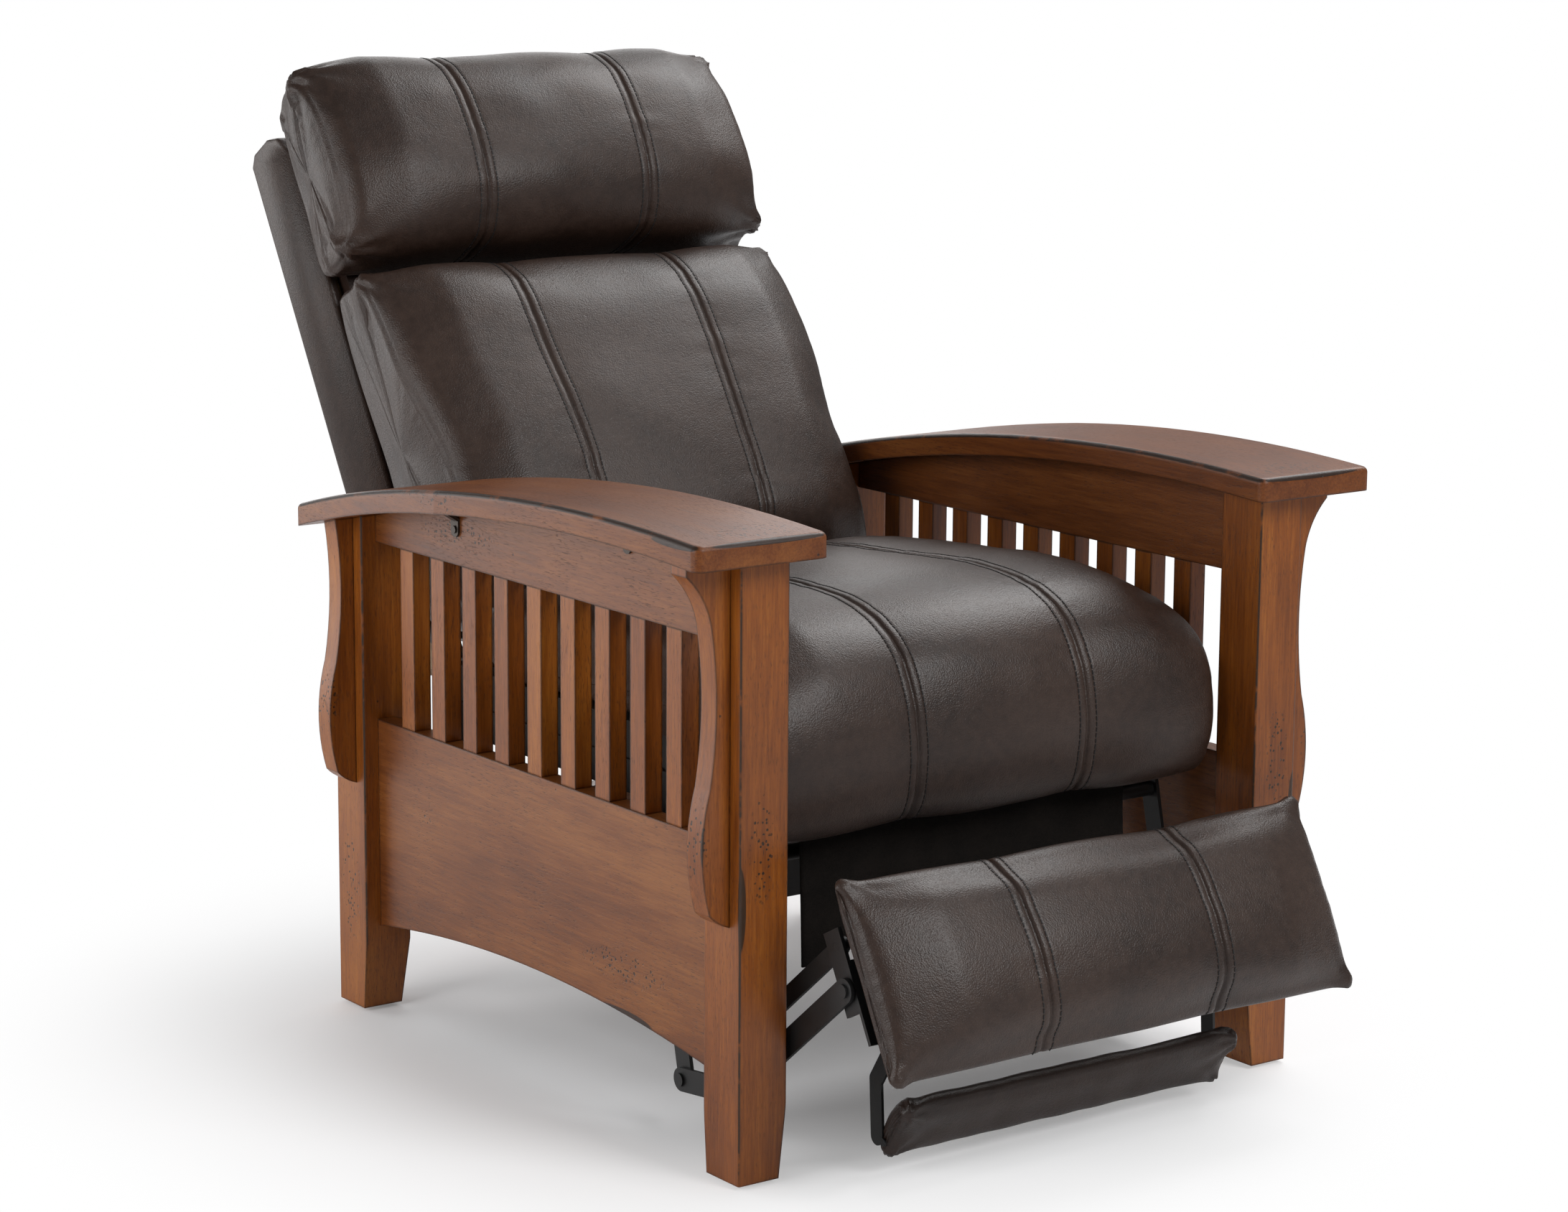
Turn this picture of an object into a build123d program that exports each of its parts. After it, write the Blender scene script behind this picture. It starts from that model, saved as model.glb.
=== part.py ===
# Mission style reclining armchair: a wooden frame with bowed arms, slatted sides and corbels, and
# between its sides an upholstered seat, back, head pillow and footrest on a steel linkage.
# Millimetres. X points to the viewer's right seen from the front, Y points back, Z points up.
# Right means +X. Sizes below are drawn from the front faces of the front posts (Y = 0) and the floor;
# every piece is moved along Y when it is written, so that the origin lies under the chair's middle.
# The chair is drawn part reclined, with its footrest part raised.
import math
import os

from build123d import *

os.makedirs("parts", exist_ok=True)

# Wooden frame
frame_width = 700.0  # over the outer faces of the posts
frame_depth = 755.0  # front of the front posts to the back of the rear posts
post_width = 55.5
post_depth = 59.0
leg_taper_height = 82.0
leg_taper_side = 9.0
leg_taper_depth = 6.0
glide_diameter = 22.0
glide_height = 4.0
edge_round = 2.0  # eased edges of posts and boards

# Arms, bowed along their length
arm_width = 150.0
arm_thickness = 24.0
arm_inner_gap = 538.0  # between the inner edges of the two arms
arm_front_overhang = 27.0
arm_rear_overhang = 15.0
arm_rear_narrowing = 32.0
arm_taper_start = 430.0
arm_middle_height = 623.0
arm_front_rise = 5.0  # of the arm's front end above its middle
arm_rear_drop = 70.0  # of its rear end below its middle
arm_top_round = 6.0
arm_corner_round = 9.0

# Sides below the arms
rail_recess = 17.6
board_thickness = 22.0
top_rail_depth = 105.0  # below the top of the arms' middle
panel_top_height = 325.0
panel_end_height = 96.0
panel_arch_height = 122.0
slat_width = 26.0
slat_thickness = 20.0
slat_recess = 1.0
slat_count = 9
first_slat_from_post = 64.0
last_slat_from_post = 50.0

# Corbels under the arms, drawn by how far they stand out and how far below the arm's front top they lie
corbel_thickness = 25.0
corbel_setback = 16.0
corbel_top_reach = 50.0
corbel_top_band = 12.0
corbel_curve_reach = 36.0
corbel_curve_drop = 52.0
corbel_neck_reach = 22.0
corbel_neck_drop = 85.0
corbel_waist_reach = 16.0
corbel_waist_drop = 166.0
corbel_swell_reach = 23.0
corbel_swell_drop = 240.0
corbel_belly_reach = 31.0
corbel_belly_drop = 316.0
corbel_heel_reach = 23.0
corbel_heel_drop = 360.0
corbel_tip_drop = 374.0

# Steel angle brackets that hold each arm to its top rail
bracket_width = 14.0
bracket_drop = 31.0  # of its foot on the rail, below the arm
bracket_bend_drop = 14.0  # of the bend above the foot
bracket_reach = 20.0  # of the slanting strip, out under the arm
bracket_lip = 12.0  # of the flat end under the arm
bracket_thickness = 2.5
bracket_front_y = 212.0
bracket_rear_y = 530.0
screw_head_diameter = 8.0
screw_head_height = 1.6
screw_shank_diameter = 3.6
screw_length = 15.0
screw_clearance = 0.2  # more than the shank, in a hole of the same body
bracket_screw_drop = 23.0

# Cross pieces of the wooden frame
stretcher_height = 96.0
stretcher_base_height = 112.0
stretcher_recess = 18.0
cross_rail_y = 440.0
cross_rail_height = 64.0
cross_rail_base_height = 130.0

# Steel stack of the mechanism, counted inwards from the posts
stack_post_clearance = 5.0
plate_thickness = 4.0
layer_gap = 1.5
pivot_diameter = 9.0
pivot_head_diameter = 13.5
pivot_head_height = 2.6
running_clearance = 0.08  # on the radius of a turning pin
fixed_clearance = 0.25  # on the radius of a bolt that holds two pieces of one body
link_width = 24.0
control_link_width = 18.0

# Places of the footrest pivots in the drawn pose
front_pivot_y = 150.0
front_pivot_height = 300.0
knee_y = 95.0
knee_height = 60.0
pivot_pair_spacing = 90.0  # rear pivots lie this far behind the front ones
pivot_pair_drop = 10.0
control_crank = 42.0
swing_tube_diameter = 16.0
swing_tube_wall = 2.0
swing_tube_from_pivot = 25.0

# Footrest pad, drawn in its own frame: up along the pad and out of its face
pad_lean = 27.8  # degrees that the pad leans back from upright
pad_foot_y = -154.0
pad_foot_height = 143.0
pad_length = 177.0
pad_half_width = 288.0
pad_crown = 35.5
pad_back = 12.0
pad_panel_half = 110.0
# up the back, over the top and down the face, as shares of the pad's length and of its crown
pad_profile_shares = [
    (0.0, -0.338),
    (0.5, -0.338),
    (0.972, -0.338),
    (1.023, -0.25),
    (1.034, -0.06),
    (1.017, 0.11),
    (0.96, 0.31),
    (0.836, 0.70),
    (0.667, 0.90),
    (0.441, 1.0),
    (0.226, 0.873),
    (0.085, 0.59),
    (0.0, 0.14),
    (-0.045, -0.085),
    (-0.04, -0.254),
    (-0.023, -0.325),
]
pad_end_share = 0.85  # of its crown that the pad loses at its ends
footboard_thickness = 12.0
footboard_margin = 20.0
footboard_half_width = 268.0
footrest_bracket_low = 66.0
footrest_bracket_high = 148.0
footrest_bracket_rear = 49.0
footrest_flange_low = 34.0
footrest_flange_high = 116.0
footrest_flange_inner = 246.0
footrest_screw_length = 11.0
pad_pivot_behind = 35.0
pad_pivot_height = 90.0

# Flipper board below the footrest pad, drawn unfolded and then folded by flipper_fold
flipper_fold = 60.0  # degrees
flipper_hinge_behind = 49.0
flipper_hinge_height = 61.0
flipper_half_length = 210.0
flipper_height = 66.0
flipper_thickness = 20.0
flipper_corner_round = 7.0
flipper_gap = 25.0  # from the pad's lower edge to the board, unfolded
flipper_behind = 6.0
flipper_arm_width = 18.0
flipper_arm_thickness = 3.0
flipper_arm_elbow = 35.0  # below the pad's lower edge, unfolded
flipper_arm_reach = 80.0
flipper_arm_behind = 17.0
flipper_pin_diameter = 6.0
flipper_pin_head = 10.0
flipper_pin_head_height = 2.0
flipper_lug_gap = 1.0
flipper_lug_width = 24.0
flipper_lug_flange = 24.0

# Seat frame of softwood rails
seat_rail_height = 72.0
seat_rail_top = 390.0
seat_rail_thickness = 24.5
seat_front_rail_y = 102.0
seat_front_rail_thickness = 22.0
seat_back_y = 640.0
seat_plate_front_y = 134.0
seat_plate_back_y = 622.0
seat_plate_lap = 34.0
bolt_diameter = 6.0
bolt_head_diameter = 13.0
bolt_head_height = 4.0

# Runners that carry the seat and let it slide forward
track_back_y = 690.0
track_front_y = 318.0
track_base_height = 246.0
track_wall = 2.5
track_depth = 19.0
runner_height = 26.0
runner_length = 44.0
runner_clearance = 0.4
runner_width = 12.0
runner_front_y = 392.0
runner_back_y = 610.0
runner_axle_diameter = 10.0
runner_leg_width = 36.0

# Sinuous springs across the seat and the back
spring_wire = 3.6
spring_count = 5
spring_loop = 26.0
spring_half_width = 22.0
spring_pitch = 92.0
spring_tail = 34.0
spring_rest = 5.0  # of each rail left bare beyond the wire's end
spring_bend_share = 0.48
back_spring_count = 4
back_spring_pitch = 104.0
spring_clip_width = 16.0
spring_clip_length = 14.0
spring_clip_thickness = 1.2

# Seat cushion
seat_half_width = 285.0
seat_cushion_back_y = 572.0
seat_cushion_front_y = 40.0
seat_cushion_top = 515.0
seat_roll_base = 306.0
seat_roll_depth = 60.0
seat_roll_fillet = 9.0
seat_crown_drop = 30.0
seat_panel_half = 108.0  # middle to each sewn seam
soft_clearance = 0.4  # between a soft piece and what it lies on
# up the back, over the top and down the front, as shares of the depth and of the height of the roll
seat_profile_shares = [
    (0.982, 0.50),
    (1.0, 0.64),
    (0.974, 0.85),
    (0.75, 0.928),
    (0.49, 0.981),
    (0.329, 1.0),
    (0.207, 0.981),
    (0.12, 0.93),
    (0.056, 0.80),
    (0.013, 0.622),
    (0.0, 0.378),
    (0.002, 0.187),
    (0.023, 0.057),
    (0.038, 0.01),
    (0.064, 0.0),
]

# Felt apron that hangs from the front rail behind the footrest
apron_thickness = 3.0
apron_half_width = 206.0
apron_middle_drop = 132.0
apron_corner_drop = 146.0
apron_corner_width = 16.0
apron_curve_width = 62.0

# Back, drawn along its own lean from a point at the foot of its front face
back_lean = 31.0  # degrees from upright
back_foot_y = 781.0
back_foot_height = 557.0
back_pivot_y = 684.0
back_pivot_height = 380.0
back_post_thickness = 22.0
back_post_depth = 63.0
back_post_low = 190.0
back_top = 450.0
back_top_bevel = 28.0
back_top_front = 50.0
back_rear = 106.0
back_rear_top = 98.0
back_front = 12.0
shell_panel_thickness = 13.0
shell_side_thickness = 20.0
shell_low = 150.0
shell_corner_round = 9.0
shell_top_round = 12.0
back_rail_height = 48.0
back_rail_thickness = 22.0
back_deck_thickness = 20.0
back_middle_rail = 215.0
hinge_arm_width = 30.0
hinge_arm_high = 110.0
hinge_arm_behind = 56.0
hinge_pin_diameter = 12.0
hinge_side_gap = 2.0

# Lower back cushion
back_cushion_half = 265.0
back_cushion_low = 178.0
back_cushion_length = 407.0
back_cushion_swell = 147.0
back_panel_half = 110.0
# up the rear, over the top and down the front, as shares of the length and of the swell
back_profile_shares = [
    (0.02, 0.0),
    (0.49, 0.0),
    (0.958, 0.0),
    (0.988, 0.05),
    (0.997, 0.15),
    (1.0, 0.30),
    (0.992, 0.49),
    (0.975, 0.66),
    (0.929, 0.768),
    (0.83, 0.857),
    (0.683, 0.925),
    (0.437, 1.0),
    (0.24, 1.0),
    (0.118, 0.973),
    (0.044, 0.83),
    (0.005, 0.646),
    (0.0, 0.41),
    (0.001, 0.15),
]
back_end_share = 0.30  # of its swell that the cushion loses at its ends

# Head pillow
pillow_half_width = 277.0
pillow_gap = 20.0  # above the top of the back cushion
pillow_length = 242.0
pillow_swell = 132.0
pillow_panel_half = 108.0
pillow_top_drop = 18.0  # of its top at the ends
# up the rear, over the top and down the front, as shares of the length and of the swell
pillow_profile_shares = [
    (0.03, 0.0),
    (0.33, 0.0),
    (0.64, 0.0),
    (0.79, 0.045),
    (0.913, 0.15),
    (0.988, 0.29),
    (1.0, 0.47),
    (0.979, 0.667),
    (0.88, 0.82),
    (0.707, 0.955),
    (0.48, 1.0),
    (0.252, 0.97),
    (0.095, 0.833),
    (0.012, 0.667),
    (-0.004, 0.417),
    (0.0, 0.17),
]
pillow_end_share = 0.30

# Cushion seams
seam_depth = 4.0
seam_half_width = 11.0
middle_swell_share = 0.07
end_round = 11.0
middle_share = 0.55  # place between seam and end where a cushion starts to fall away
edge_middle_share = 0.16
edge_outer_share = 0.62
diagonal_share = math.sqrt(0.5)
pad_inset_share = 0.3  # of a cushion's usual rounding that suits the thin pad
cut_overrun = 2.0

arm_front_height = arm_middle_height + arm_front_rise
arm_rear_height = arm_middle_height - arm_rear_drop
rail_underside_height = arm_middle_height - top_rail_depth
corbel_tip_height = arm_front_height - corbel_tip_drop
corbel_neck_height = arm_front_height - corbel_neck_drop
corbel_swell_height = arm_front_height - corbel_swell_drop
corbel_heel_height = arm_front_height - corbel_heel_drop
pillow_low = back_cushion_length - back_cushion_low + pillow_gap
frame_half = frame_width / 2
post_inner = frame_half - post_width
rear_post_front = frame_depth - post_depth
rail_outer = frame_half - rail_recess
rail_inner = rail_outer - board_thickness
arm_inner = arm_inner_gap / 2
arm_outer = arm_inner + arm_width
parts = {}


def keep(name, *solids):
    parts[name] = list(solids)


def both(name, solid):
    # the right hand piece and its mirror image, each a node of its own
    keep("right_" + name, solid)
    keep("left_" + name, mirror(solid, about=Plane.YZ))


def pair(*solids):
    # right hand solids followed by their mirror images
    return list(solids) + [mirror(solid, about=Plane.YZ) for solid in solids]


def block(x0, x1, y0, y1, z0, z1):
    middle = Pos((x0 + x1) / 2, (y0 + y1) / 2, (z0 + z1) / 2)
    return middle * Box(x1 - x0, y1 - y0, z1 - z0)


def side_plate(face, x0, x1):
    # a face drawn as (y, z), made a plate between two X places
    return extrude(Plane.YZ.offset(x0) * face, amount=x1 - x0)


def front_plate(face, y0, y1):
    # a face drawn as (x, z), made a plate between two Y places
    return extrude(Plane.XZ.offset(-y1) * face, amount=y1 - y0)


def rod(point, x0, x1, diameter):
    # a round bar along X through a (y, z) point
    middle = Pos((x0 + x1) / 2, point[0], point[1])
    return middle * Rot(0, 90, 0) * Cylinder(diameter / 2, abs(x1 - x0))


def slot(p, q, width):
    # a round ended bar between two (y, z) points, as a face
    run, rise = q[0] - p[0], q[1] - p[1]
    place = Pos((p[0] + q[0]) / 2, (p[1] + q[1]) / 2) * Rot(0, 0, math.degrees(math.atan2(rise, run)))
    return place * SlotCenterToCenter(math.hypot(run, rise), width)


def along(p, q, distance):
    # the point that lies a distance from p towards q
    share = distance / math.hypot(q[0] - p[0], q[1] - p[1])
    return (p[0] + (q[0] - p[0]) * share, p[1] + (q[1] - p[1]) * share)


def turned(point, centre, degrees):
    # a (y, z) point turned about a centre, from up towards the front
    angle = math.radians(degrees)
    y, z = point[0] - centre[0], point[1] - centre[1]
    return (
        centre[0] + y * math.cos(angle) - z * math.sin(angle),
        centre[1] + y * math.sin(angle) + z * math.cos(angle),
    )


def outline(points):
    # a closed face through (a, b) points, each second one the middle of an arc
    edges = []
    for i in range(0, len(points), 2):
        a, m, b = points[i], points[i + 1], points[(i + 2) % len(points)]
        bend = (m[0] - a[0]) * (b[1] - a[1]) - (m[1] - a[1]) * (b[0] - a[0])
        flat = abs(bend) < 1e-4 * ((b[0] - a[0]) ** 2 + (b[1] - a[1]) ** 2)
        edges.append(Line(a, b) if flat else ThreePointArc(a, m, b))
    return make_face(edges)


def drawn_in(points, inset):
    # an outline that runs from its back over its top, with every point moved inwards
    moved = []
    for i, (a, b) in enumerate(points):
        before, after = points[i - 1], points[(i + 1) % len(points)]
        run, rise = after[0] - before[0], after[1] - before[1]
        length = math.hypot(run, rise)
        moved.append((a - rise / length * inset, b + run / length * inset))
    return moved


def lofted(sections):
    # a solid through closed (y, z) outlines at their X places, straight from each to the next
    wires = []
    for x, points in sections:
        face = Plane.YZ.offset(x) * outline(points)
        wires.append(face.faces()[0].outer_wire())
    return Solid.make_loft(wires, ruled=True)


def cushion_sections(half_width, panel_half, ring):
    # places across a cushion: ring(edge, inset) gives the outline, edge running from 0 to 1 at the end
    steps = [
        (panel_half, 0, seam_depth),
        (panel_half + seam_half_width, 0, 0),
        (panel_half + (half_width - panel_half) * middle_share, edge_middle_share, 0),
        (half_width - end_round * 2, edge_outer_share, 0),
        (half_width - end_round / 2, 1, end_round / 4),
        (half_width, 1, end_round),
    ]
    steps = [(0, -middle_swell_share, 0), (panel_half - seam_half_width, 0, 0)] + steps
    right = [(x, ring(edge, inset)) for x, edge, inset in steps]
    return [(-x, points) for x, points in right[:0:-1]] + right


def hollow(solid, *cutters):
    for cutter in cutters:
        solid = solid - cutter
    return solid


def riveted(point, inner, outer, inner_head=True, outer_head=True, collar=None):
    # a rivet along X with its heads on the two plates that it joins
    rivet = rod(point, inner, outer, pivot_diameter)
    if inner_head:
        rivet += rod(point, inner - pivot_head_height, inner, pivot_head_diameter)
    if outer_head:
        rivet += rod(point, outer, outer + pivot_head_height, pivot_head_diameter)
    if collar:
        rivet += rod(point, collar[0], collar[1], pivot_head_diameter)
    return rivet


def pivot_hole(point, x0, x1):
    return rod(point, x0 - cut_overrun, x1 + cut_overrun, pivot_diameter + 2 * running_clearance)


def screw(head_from, head_to, axis, at, tip):
    # a screw along X or Z: its head spans two places and its shank runs on to the tip
    low, high = min(head_from, head_to), max(head_from, head_to)
    if axis == "x":
        head = rod(at, low, high, screw_head_diameter)
        return head + rod(at, min(head_from, tip), max(head_from, tip), screw_shank_diameter)
    head = Pos(at[0], at[1], (low + high) / 2) * Cylinder(screw_head_diameter / 2, high - low)
    shank = Cylinder(screw_shank_diameter / 2, abs(tip - head_from))
    return head + Pos(at[0], at[1], (tip + head_from) / 2) * shank


# Arms
def arm_curve(lower):
    # three places on the bow of the arm's top, lowered by a given depth
    front = (-arm_front_overhang, arm_front_height - lower)
    middle = (frame_depth / 2, arm_middle_height - lower)
    rear = (frame_depth + arm_rear_overhang, arm_rear_height - lower)
    return front, middle, rear


def above_underside():
    # everything above the underside of the arms, used to cut what stands below them
    front, middle, rear = arm_curve(arm_thickness)
    top = arm_middle_height + arm_width
    start = (front[0] - arm_width, front[1])
    end = (rear[0] + arm_width, rear[1])
    edges = [
        Line(start, front),
        ThreePointArc(front, middle, rear),
        Line(rear, end),
        Line(end, (end[0], top)),
        Line((end[0], top), (start[0], top)),
        Line((start[0], top), start),
    ]
    return side_plate(make_face(edges), -frame_width, frame_width)


def arm_board():
    top = arm_curve(0)
    low = arm_curve(arm_thickness)
    edges = [
        ThreePointArc(*top),
        Line(top[2], low[2]),
        ThreePointArc(low[2], low[1], low[0]),
        Line(low[0], top[0]),
    ]
    board = side_plate(make_face(edges), arm_inner, arm_outer)
    rear = frame_depth + arm_rear_overhang
    waste = make_face(
        Polyline(
            (arm_outer + cut_overrun, arm_taper_start),
            (arm_outer, arm_taper_start),
            (arm_outer - arm_rear_narrowing, rear),
            (arm_outer - arm_rear_narrowing, rear + cut_overrun),
            (arm_outer + cut_overrun, rear + cut_overrun),
            (arm_outer + cut_overrun, arm_taper_start),
        )
    )
    board -= extrude(waste, amount=arm_middle_height + arm_width)
    corners = [e for e in board.edges().filter_by(Axis.Z) if e.length > arm_thickness / 2]
    board = fillet(corners, arm_corner_round)
    rim = board.faces().sort_by(Axis.Z)[-1].outer_wire().edges()
    return fillet(rim, arm_top_round)


arm_waste = above_underside()
both("arm_board", arm_board())


# Posts, rails, panels and slats
def post(front_y, inner_end_sign):
    # inner_end_sign is 1 where the tapered face looks back and -1 where it looks forward
    height = max(arm_front_height, arm_middle_height)
    body = block(post_inner, frame_half, front_y, front_y + post_depth, glide_height, height)
    upright = body.edges().filter_by(Axis.Z)
    body = fillet(upright, edge_round)
    foot = glide_height
    knee = leg_taper_height
    side_cut = make_face(
        Polyline(
            (post_inner - cut_overrun, foot - cut_overrun),
            (post_inner + leg_taper_side, foot - cut_overrun),
            (post_inner + leg_taper_side, foot),
            (post_inner, knee),
            (post_inner - cut_overrun, knee),
            (post_inner - cut_overrun, foot - cut_overrun),
        )
    )
    face_y = front_y + post_depth if inner_end_sign > 0 else front_y
    step, over = inner_end_sign * leg_taper_depth, inner_end_sign * cut_overrun
    face_cut = make_face(
        Polyline(
            (face_y + over, foot - cut_overrun),
            (face_y - step, foot - cut_overrun),
            (face_y - step, foot),
            (face_y, knee),
            (face_y + over, knee),
            (face_y + over, foot - cut_overrun),
        )
    )
    y0, y1 = front_y - cut_overrun, front_y + post_depth + cut_overrun
    body -= front_plate(side_cut, y0, y1)
    body -= side_plate(face_cut, post_inner - cut_overrun, frame_half + cut_overrun)
    return body - arm_waste


both("front_post", post(0, 1))
both("rear_post", post(rear_post_front, -1))


def top_rail():
    rail = block(rail_inner, rail_outer, post_depth, rear_post_front, rail_underside_height, arm_middle_height)
    return rail - arm_waste


def bottom_panel():
    middle = (post_depth + rear_post_front) / 2
    edges = [
        Line((post_depth, panel_top_height), (rear_post_front, panel_top_height)),
        Line((rear_post_front, panel_top_height), (rear_post_front, panel_end_height)),
        ThreePointArc(
            (rear_post_front, panel_end_height),
            (middle, panel_arch_height),
            (post_depth, panel_end_height),
        ),
        Line((post_depth, panel_end_height), (post_depth, panel_top_height)),
    ]
    return side_plate(make_face(edges), rail_inner, rail_outer)


def slats():
    first = post_depth + first_slat_from_post
    last = rear_post_front - last_slat_from_post - slat_width
    pitch = (last - first) / (slat_count - 1)
    outer = rail_outer - slat_recess
    row = []
    for i in range(slat_count):
        y = first + i * pitch
        piece = block(outer - slat_thickness, outer, y, y + slat_width, panel_top_height, rail_underside_height)
        row.append(piece)
    return row


right_slats = slats()
keep("right_side_slats", *right_slats)
keep("left_side_slats", *[mirror(s, about=Plane.YZ) for s in right_slats])


def corbel(front_y):
    h = frame_half
    top = arm_front_height - arm_thickness
    edges = [
        Line((h, corbel_tip_height), (h, top + arm_thickness)),
        Line((h, top + arm_thickness), (h + corbel_top_reach, top + arm_thickness)),
        Line((h + corbel_top_reach, top + arm_thickness), (h + corbel_top_reach, top - corbel_top_band)),
        ThreePointArc(
            (h + corbel_top_reach, top - corbel_top_band),
            (h + corbel_curve_reach, arm_front_height - corbel_curve_drop),
            (h + corbel_neck_reach, corbel_neck_height),
        ),
        ThreePointArc(
            (h + corbel_neck_reach, corbel_neck_height),
            (h + corbel_waist_reach, arm_front_height - corbel_waist_drop),
            (h + corbel_swell_reach, corbel_swell_height),
        ),
        ThreePointArc(
            (h + corbel_swell_reach, corbel_swell_height),
            (h + corbel_belly_reach, arm_front_height - corbel_belly_drop),
            (h + corbel_heel_reach, corbel_heel_height),
        ),
        ThreePointArc(
            (h + corbel_heel_reach, corbel_heel_height),
            (h + corbel_heel_reach / 2, (corbel_heel_height + corbel_tip_height * 2) / 3),
            (h, corbel_tip_height),
        ),
    ]
    return front_plate(make_face(edges), front_y, front_y + corbel_thickness) - arm_waste


both("front_corbel", corbel(corbel_setback))
keep("rear_corbels", *pair(corbel(rear_post_front + corbel_setback)))


def arm_underside(y):
    # height of the arms' underside at a place along them, from the circle of their bow
    (y1, z1), (y2, z2), (y3, z3) = arm_curve(arm_thickness)
    d = 2 * (y1 * (z2 - z3) + y2 * (z3 - z1) + y3 * (z1 - z2))
    s1, s2, s3 = y1**2 + z1**2, y2**2 + z2**2, y3**2 + z3**2
    cy = (s1 * (z2 - z3) + s2 * (z3 - z1) + s3 * (z1 - z2)) / d
    cz = (s1 * (y3 - y2) + s2 * (y1 - y3) + s3 * (y2 - y1)) / d
    return cz + math.sqrt((y1 - cy) ** 2 + (z1 - cz) ** 2 - (y - cy) ** 2)


def arm_bracket(y):
    # bent strip steel: a foot on the rail's outer face, a slanting strip, and a lip under the arm
    top = min(arm_underside(y - bracket_width / 2), arm_underside(y + bracket_width / 2))
    y0, y1 = y - bracket_width / 2, y + bracket_width / 2
    face = rail_outer + bracket_thickness
    round_end = bracket_width / 2
    foot_end, bend = top - bracket_drop + round_end, top - bracket_bend_drop
    out, under = rail_outer + bracket_reach, top - bracket_thickness
    edges = [
        Line((rail_outer, foot_end), (rail_outer, bend + bracket_thickness)),
        Line((rail_outer, bend + bracket_thickness), (out - bracket_thickness, top)),
        Line((out - bracket_thickness, top), (out + bracket_lip, top)),
        Line((out + bracket_lip, top), (out + bracket_lip, under)),
        Line((out + bracket_lip, under), (out, under)),
        Line((out, under), (face, bend)),
        Line((face, bend), (face, foot_end)),
        Line((face, foot_end), (rail_outer, foot_end)),
    ]
    strip = front_plate(make_face(edges), y0, y1)
    strip += rod((y, foot_end), rail_outer, face, bracket_width)
    hole_at = (y, top - bracket_screw_drop)
    hole = screw_shank_diameter + screw_clearance
    return strip - rod(hole_at, rail_outer - cut_overrun, face, hole), hole_at


brackets, bracket_screws, rail_holes = [], [], []
for bracket_y in (bracket_front_y, bracket_rear_y):
    piece, hole_at = arm_bracket(bracket_y)
    outer = rail_outer + bracket_thickness
    brackets.append(piece)
    bracket_screws.append(screw(outer, outer + screw_head_height, "x", hole_at, outer - screw_length))
    rail_holes.append(rod(hole_at, outer - screw_length, outer, screw_shank_diameter + screw_clearance))
keep("arm_brackets", *pair(*brackets))
both("top_rail", hollow(top_rail(), *rail_holes))

glides = []
for y in (post_depth / 2 - leg_taper_depth / 2, rear_post_front + post_depth / 2 + leg_taper_depth / 2):
    x = (post_inner + leg_taper_side + frame_half) / 2
    glides.append(Pos(x, y, glide_height / 2) * Cylinder(glide_diameter / 2, glide_height))
keep("foot_glides", *pair(*glides))

stretcher_y = rear_post_front + stretcher_recess
stretcher_top = stretcher_base_height + stretcher_height
keep(
    "rear_stretcher",
    block(-post_inner, post_inner, stretcher_y, stretcher_y + board_thickness, stretcher_base_height, stretcher_top),
)
cross_top = cross_rail_base_height + cross_rail_height
keep(
    "base_cross_rail",
    block(-rail_inner, rail_inner, cross_rail_y, cross_rail_y + board_thickness, cross_rail_base_height, cross_top),
)

# Layers of the mechanism
layer_pitch = plate_thickness + layer_gap
carrier_outer = post_inner - stack_post_clearance
carrier_inner = carrier_outer - plate_thickness
swing_outer = carrier_outer - layer_pitch
swing_inner = swing_outer - plate_thickness
seat_plate_outer = swing_outer - layer_pitch
seat_plate_inner = seat_plate_outer - plate_thickness
seat_side = seat_plate_inner  # outer face of the seat frame

# Tracks on the bottom panels, and the runners of the seat in them
track_top = track_base_height + runner_height + 2 * runner_clearance + 2 * track_wall
track_inner = rail_inner - track_depth
track_middle = (track_base_height + track_top) / 2


def seat_track():
    rail = block(track_inner, rail_inner, track_front_y, track_back_y, track_base_height, track_top)
    bore = block(
        track_inner - cut_overrun,
        rail_inner - track_wall,
        track_front_y - cut_overrun,
        track_back_y + cut_overrun,
        track_base_height + track_wall,
        track_top - track_wall,
    )
    return rail - bore


track_holes, track_screws = [], []
for y in (track_front_y + runner_length, (track_front_y + track_back_y) / 2, track_back_y - runner_length):
    head_at = rail_inner - track_wall
    tip = head_at + screw_length
    track_screws.append(screw(head_at, head_at - screw_head_height, "x", (y, track_middle), tip))
    hole_diameter = screw_shank_diameter + screw_clearance
    track_holes.append(rod((y, track_middle), head_at - cut_overrun, tip, hole_diameter))
keep("seat_tracks", *pair(hollow(seat_track(), *track_holes)))
keep("frame_screws", *pair(*bracket_screws, *track_screws))
both("bottom_panel", hollow(bottom_panel(), *track_holes))

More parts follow.
